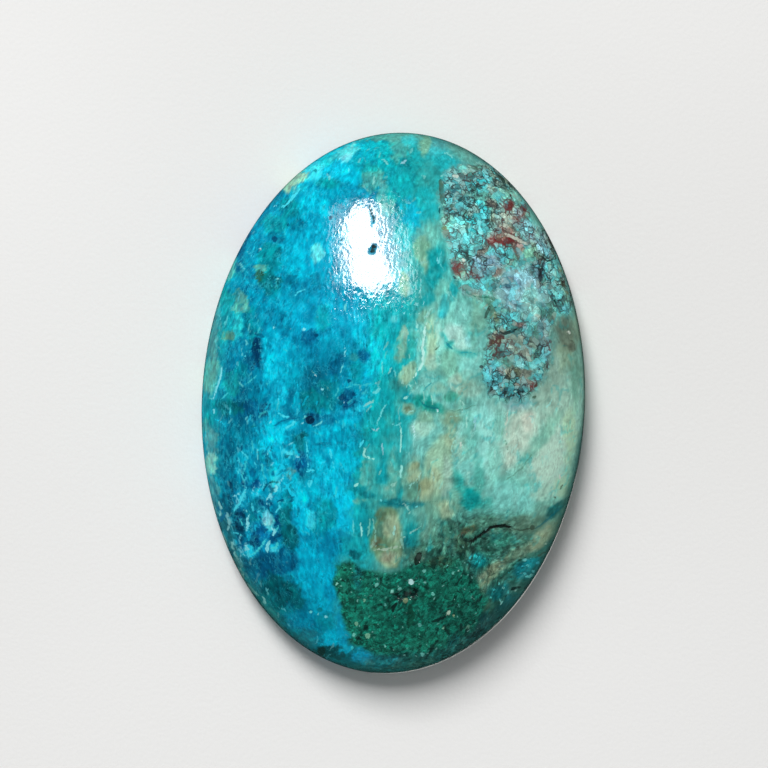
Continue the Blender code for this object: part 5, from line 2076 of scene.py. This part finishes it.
# ---------------------------------------------------------------- the studio
def floor():
    """A pale seamless sheet of card, flat under the stone and all round it, with a fine tooth."""
    size, count = 0.6, 60
    mesh = bpy.data.meshes.new("floor")
    line = np.linspace(-size, size, count + 1)
    x, y = np.meshgrid(line, line, indexing="ij")
    z = np.zeros_like(x)
    number = np.arange((count + 1) ** 2).reshape(count + 1, count + 1)
    quads = np.stack(
        [number[:-1, :-1], number[1:, :-1], number[1:, 1:], number[:-1, 1:]], -1
    ).reshape(-1, 4)
    mesh.from_pydata(
        np.stack([x, y, z], -1).reshape(-1, 3).tolist(), [], quads.tolist()
    )
    mesh.shade_smooth()
    material = bpy.data.materials.new("pale_card")
    material.use_nodes = True
    g = Graph(material.node_tree)
    shader = material.node_tree.nodes["Principled BSDF"]
    place = g.add("ShaderNodeTexCoord").outputs["Object"]
    tooth = g.noise(place, 5200, 1, 0.6).outputs["Fac"]
    drift = g.noise(place, 22, 1, 0.5).outputs["Fac"]
    tone = g.mix(
        g.between(drift, 0.3, 0.7), (0.80, 0.792, 0.775, 1), (0.86, 0.853, 0.838, 1)
    )
    g.put(shader.inputs["Base Color"], tone)
    g.put(shader.inputs["Normal"], g.bump(tooth, 0.25, 0.00004))
    shader.inputs["Roughness"].default_value = 0.9
    mesh.materials.append(material)
    obj = bpy.data.objects.new("floor", mesh)
    obj.visible_glossy = False  # the polished rim mirrors the dark studio, not the card
    bpy.context.scene.collection.objects.link(obj)
    return obj


def low_card():
    """A dim glowing card on the floor, seen only in reflections: it draws a thin light line along the rim low on the right."""
    turn = np.radians(np.linspace(-92, -12, 33))
    rings = []
    taper = np.sin(np.linspace(0, np.pi, 33)) ** 0.7
    for share in (np.full(33, 1.004), 1.006 + 0.05 * taper):
        x, y = to_oval(np.cos(turn) * share, np.sin(turn) * share)
        rings.append(np.stack([x, y, np.full(len(turn), 0.02)], 1))
    count = len(turn)
    k = np.arange(count - 1)
    quads = np.stack([k, k + count, k + count + 1, k + 1], 1)
    mesh = bpy.data.meshes.new("low_card")
    mesh.from_pydata((np.concatenate(rings) / 1000).tolist(), [], quads.tolist())
    material = bpy.data.materials.new("low_glow")
    material.use_nodes = True
    tree = material.node_tree
    tree.nodes.clear()
    g = Graph(tree)
    glow = g.add("ShaderNodeEmission")
    glow.inputs["Color"].default_value = (1.0, 0.97, 0.92, 1)
    glow.inputs["Strength"].default_value = 0.9
    tree.links.new(glow.outputs[0], g.add("ShaderNodeOutputMaterial").inputs["Surface"])
    mesh.materials.append(material)
    card = bpy.data.objects.new("low_card", mesh)
    card.visible_camera = card.visible_diffuse = card.visible_shadow = False
    card.visible_transmission = card.visible_volume_scatter = False
    bpy.context.scene.collection.objects.link(card)
    return card


def area_light(name, at, toward, width, height, radiance, roll=0.0, colour=(1, 1, 1), **shown):
    """A rectangular light of the given radiance."""
    data = bpy.data.lights.new(name, "AREA")
    data.shape = "RECTANGLE"
    data.size, data.size_y = width, height
    data.energy = radiance * math.pi * width * height
    data.color = colour
    obj = bpy.data.objects.new(name, data)
    obj.location = at
    direction = Vector(toward) - Vector(at)
    turned = direction.to_track_quat("-Z", "Y").to_matrix() @ Matrix.Rotation(roll, 3, "Z")
    obj.rotation_euler = turned.to_euler()
    for setting, value in shown.items():
        setattr(obj, setting, value)
    obj.visible_camera = False
    bpy.context.scene.collection.objects.link(obj)
    return obj


def studio():
    target = (-0.0016, 0.0070, 0.0053)
    # the main light: strips side by side, each lower than the last, so that the dome mirrors them as one upright patch
    key = KEY_FROM / np.linalg.norm(KEY_FROM)
    side = np.cross([0, 0, 1], key)
    side /= np.linalg.norm(side)
    rise = np.cross(key, side)
    middle = np.array(target) + KEY_AWAY * key
    strips = ((-0.0459, 0.03025, -0.005, 0.243), (-0.01565, 0.03025, -0.024, 0.275), (0.0146, 0.03025, -0.030, 0.288), (0.0485, 0.0375, -0.035, 0.226))
    for k, (x, width, up, height) in enumerate(strips):
        at = middle + side * x + rise * up
        area_light("key_strip_%d" % k, tuple(at), tuple(at - key), width, height, 19.0)
    # the cloth behind them glows dimly beyond their edges
    for k, (x, width, radiance) in enumerate(((-0.086, 0.050, 4.0), (-0.0305, 0.061, 1.4), (0.0305, 0.061, 1.4), (0.086, 0.032, 3.0))):
        at = middle + 0.01 * key + side * x + rise * (-0.67 * x - 0.042)
        area_light("key_cloth_%d" % k, tuple(at), tuple(at - key), width, 0.300, radiance)

    world = bpy.data.worlds.new("studio")
    bpy.context.scene.world = world
    world.use_nodes = True
    tree = world.node_tree
    tree.nodes.clear()
    g = Graph(tree)
    out = g.add("ShaderNodeOutputWorld")
    kind = g.add("ShaderNodeLightPath")
    room = g.add("ShaderNodeBackground")
    room.inputs["Color"].default_value = (0.96, 0.98, 1.0, 1)
    room.inputs["Strength"].default_value = FILL_SHARE
    dim = g.add("ShaderNodeBackground")
    dim.inputs["Color"].default_value = (0.9, 0.95, 1.0, 1)
    dim.inputs["Strength"].default_value = 0.014
    seen = g.add("ShaderNodeBackground")
    seen.inputs["Color"].default_value = (0.80, 0.80, 0.79, 1)
    seen.inputs["Strength"].default_value = 0.8
    glossy = g.add("ShaderNodeMixShader")
    g.put(glossy.inputs[0], kind.outputs["Is Glossy Ray"])
    tree.links.new(room.outputs[0], glossy.inputs[1])
    tree.links.new(dim.outputs[0], glossy.inputs[2])
    camera_ray = g.add("ShaderNodeMixShader")
    g.put(camera_ray.inputs[0], kind.outputs["Is Camera Ray"])
    tree.links.new(glossy.outputs[0], camera_ray.inputs[1])
    tree.links.new(seen.outputs[0], camera_ray.inputs[2])
    tree.links.new(camera_ray.outputs[0], out.inputs["Surface"])


def camera():
    """Straight above the stone, turned so that its length leans a little to the right, framing 768 chart units."""
    data = bpy.data.cameras.new("camera")
    data.sensor_width = 36.0
    frame_width = 768 * UNIT
    data.lens = 36.0 * EYE / frame_width
    data.clip_start, data.clip_end = 0.005, 10
    obj = bpy.data.objects.new("camera", data)
    lean = CHART_LEAN
    # the chart's middle, (384, 384), in millimetres at the girdle's height
    a, b = 384 - CHART_U, CHART_V - 384
    c, s = math.cos(lean), math.sin(lean)
    x = (a * c - b * s - 0.9) * UNIT
    y = (a * s + b * c + 0.6) * UNIT
    obj.location = (x / 1000, y / 1000, (EYE + 0.9) / 1000)
    obj.rotation_euler = (0, 0, lean)
    bpy.context.scene.collection.objects.link(obj)
    bpy.context.scene.camera = obj
    return obj


def main():
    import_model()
    stone = build_stone()
    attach(stone, "root")
    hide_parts("cabochon")
    floor()
    low_card()
    studio()
    camera()
    bpy.context.scene.view_settings.view_transform = "Standard"
    bpy.context.scene.view_settings.look = "None"

    bpy.context.view_layer.update()


main()
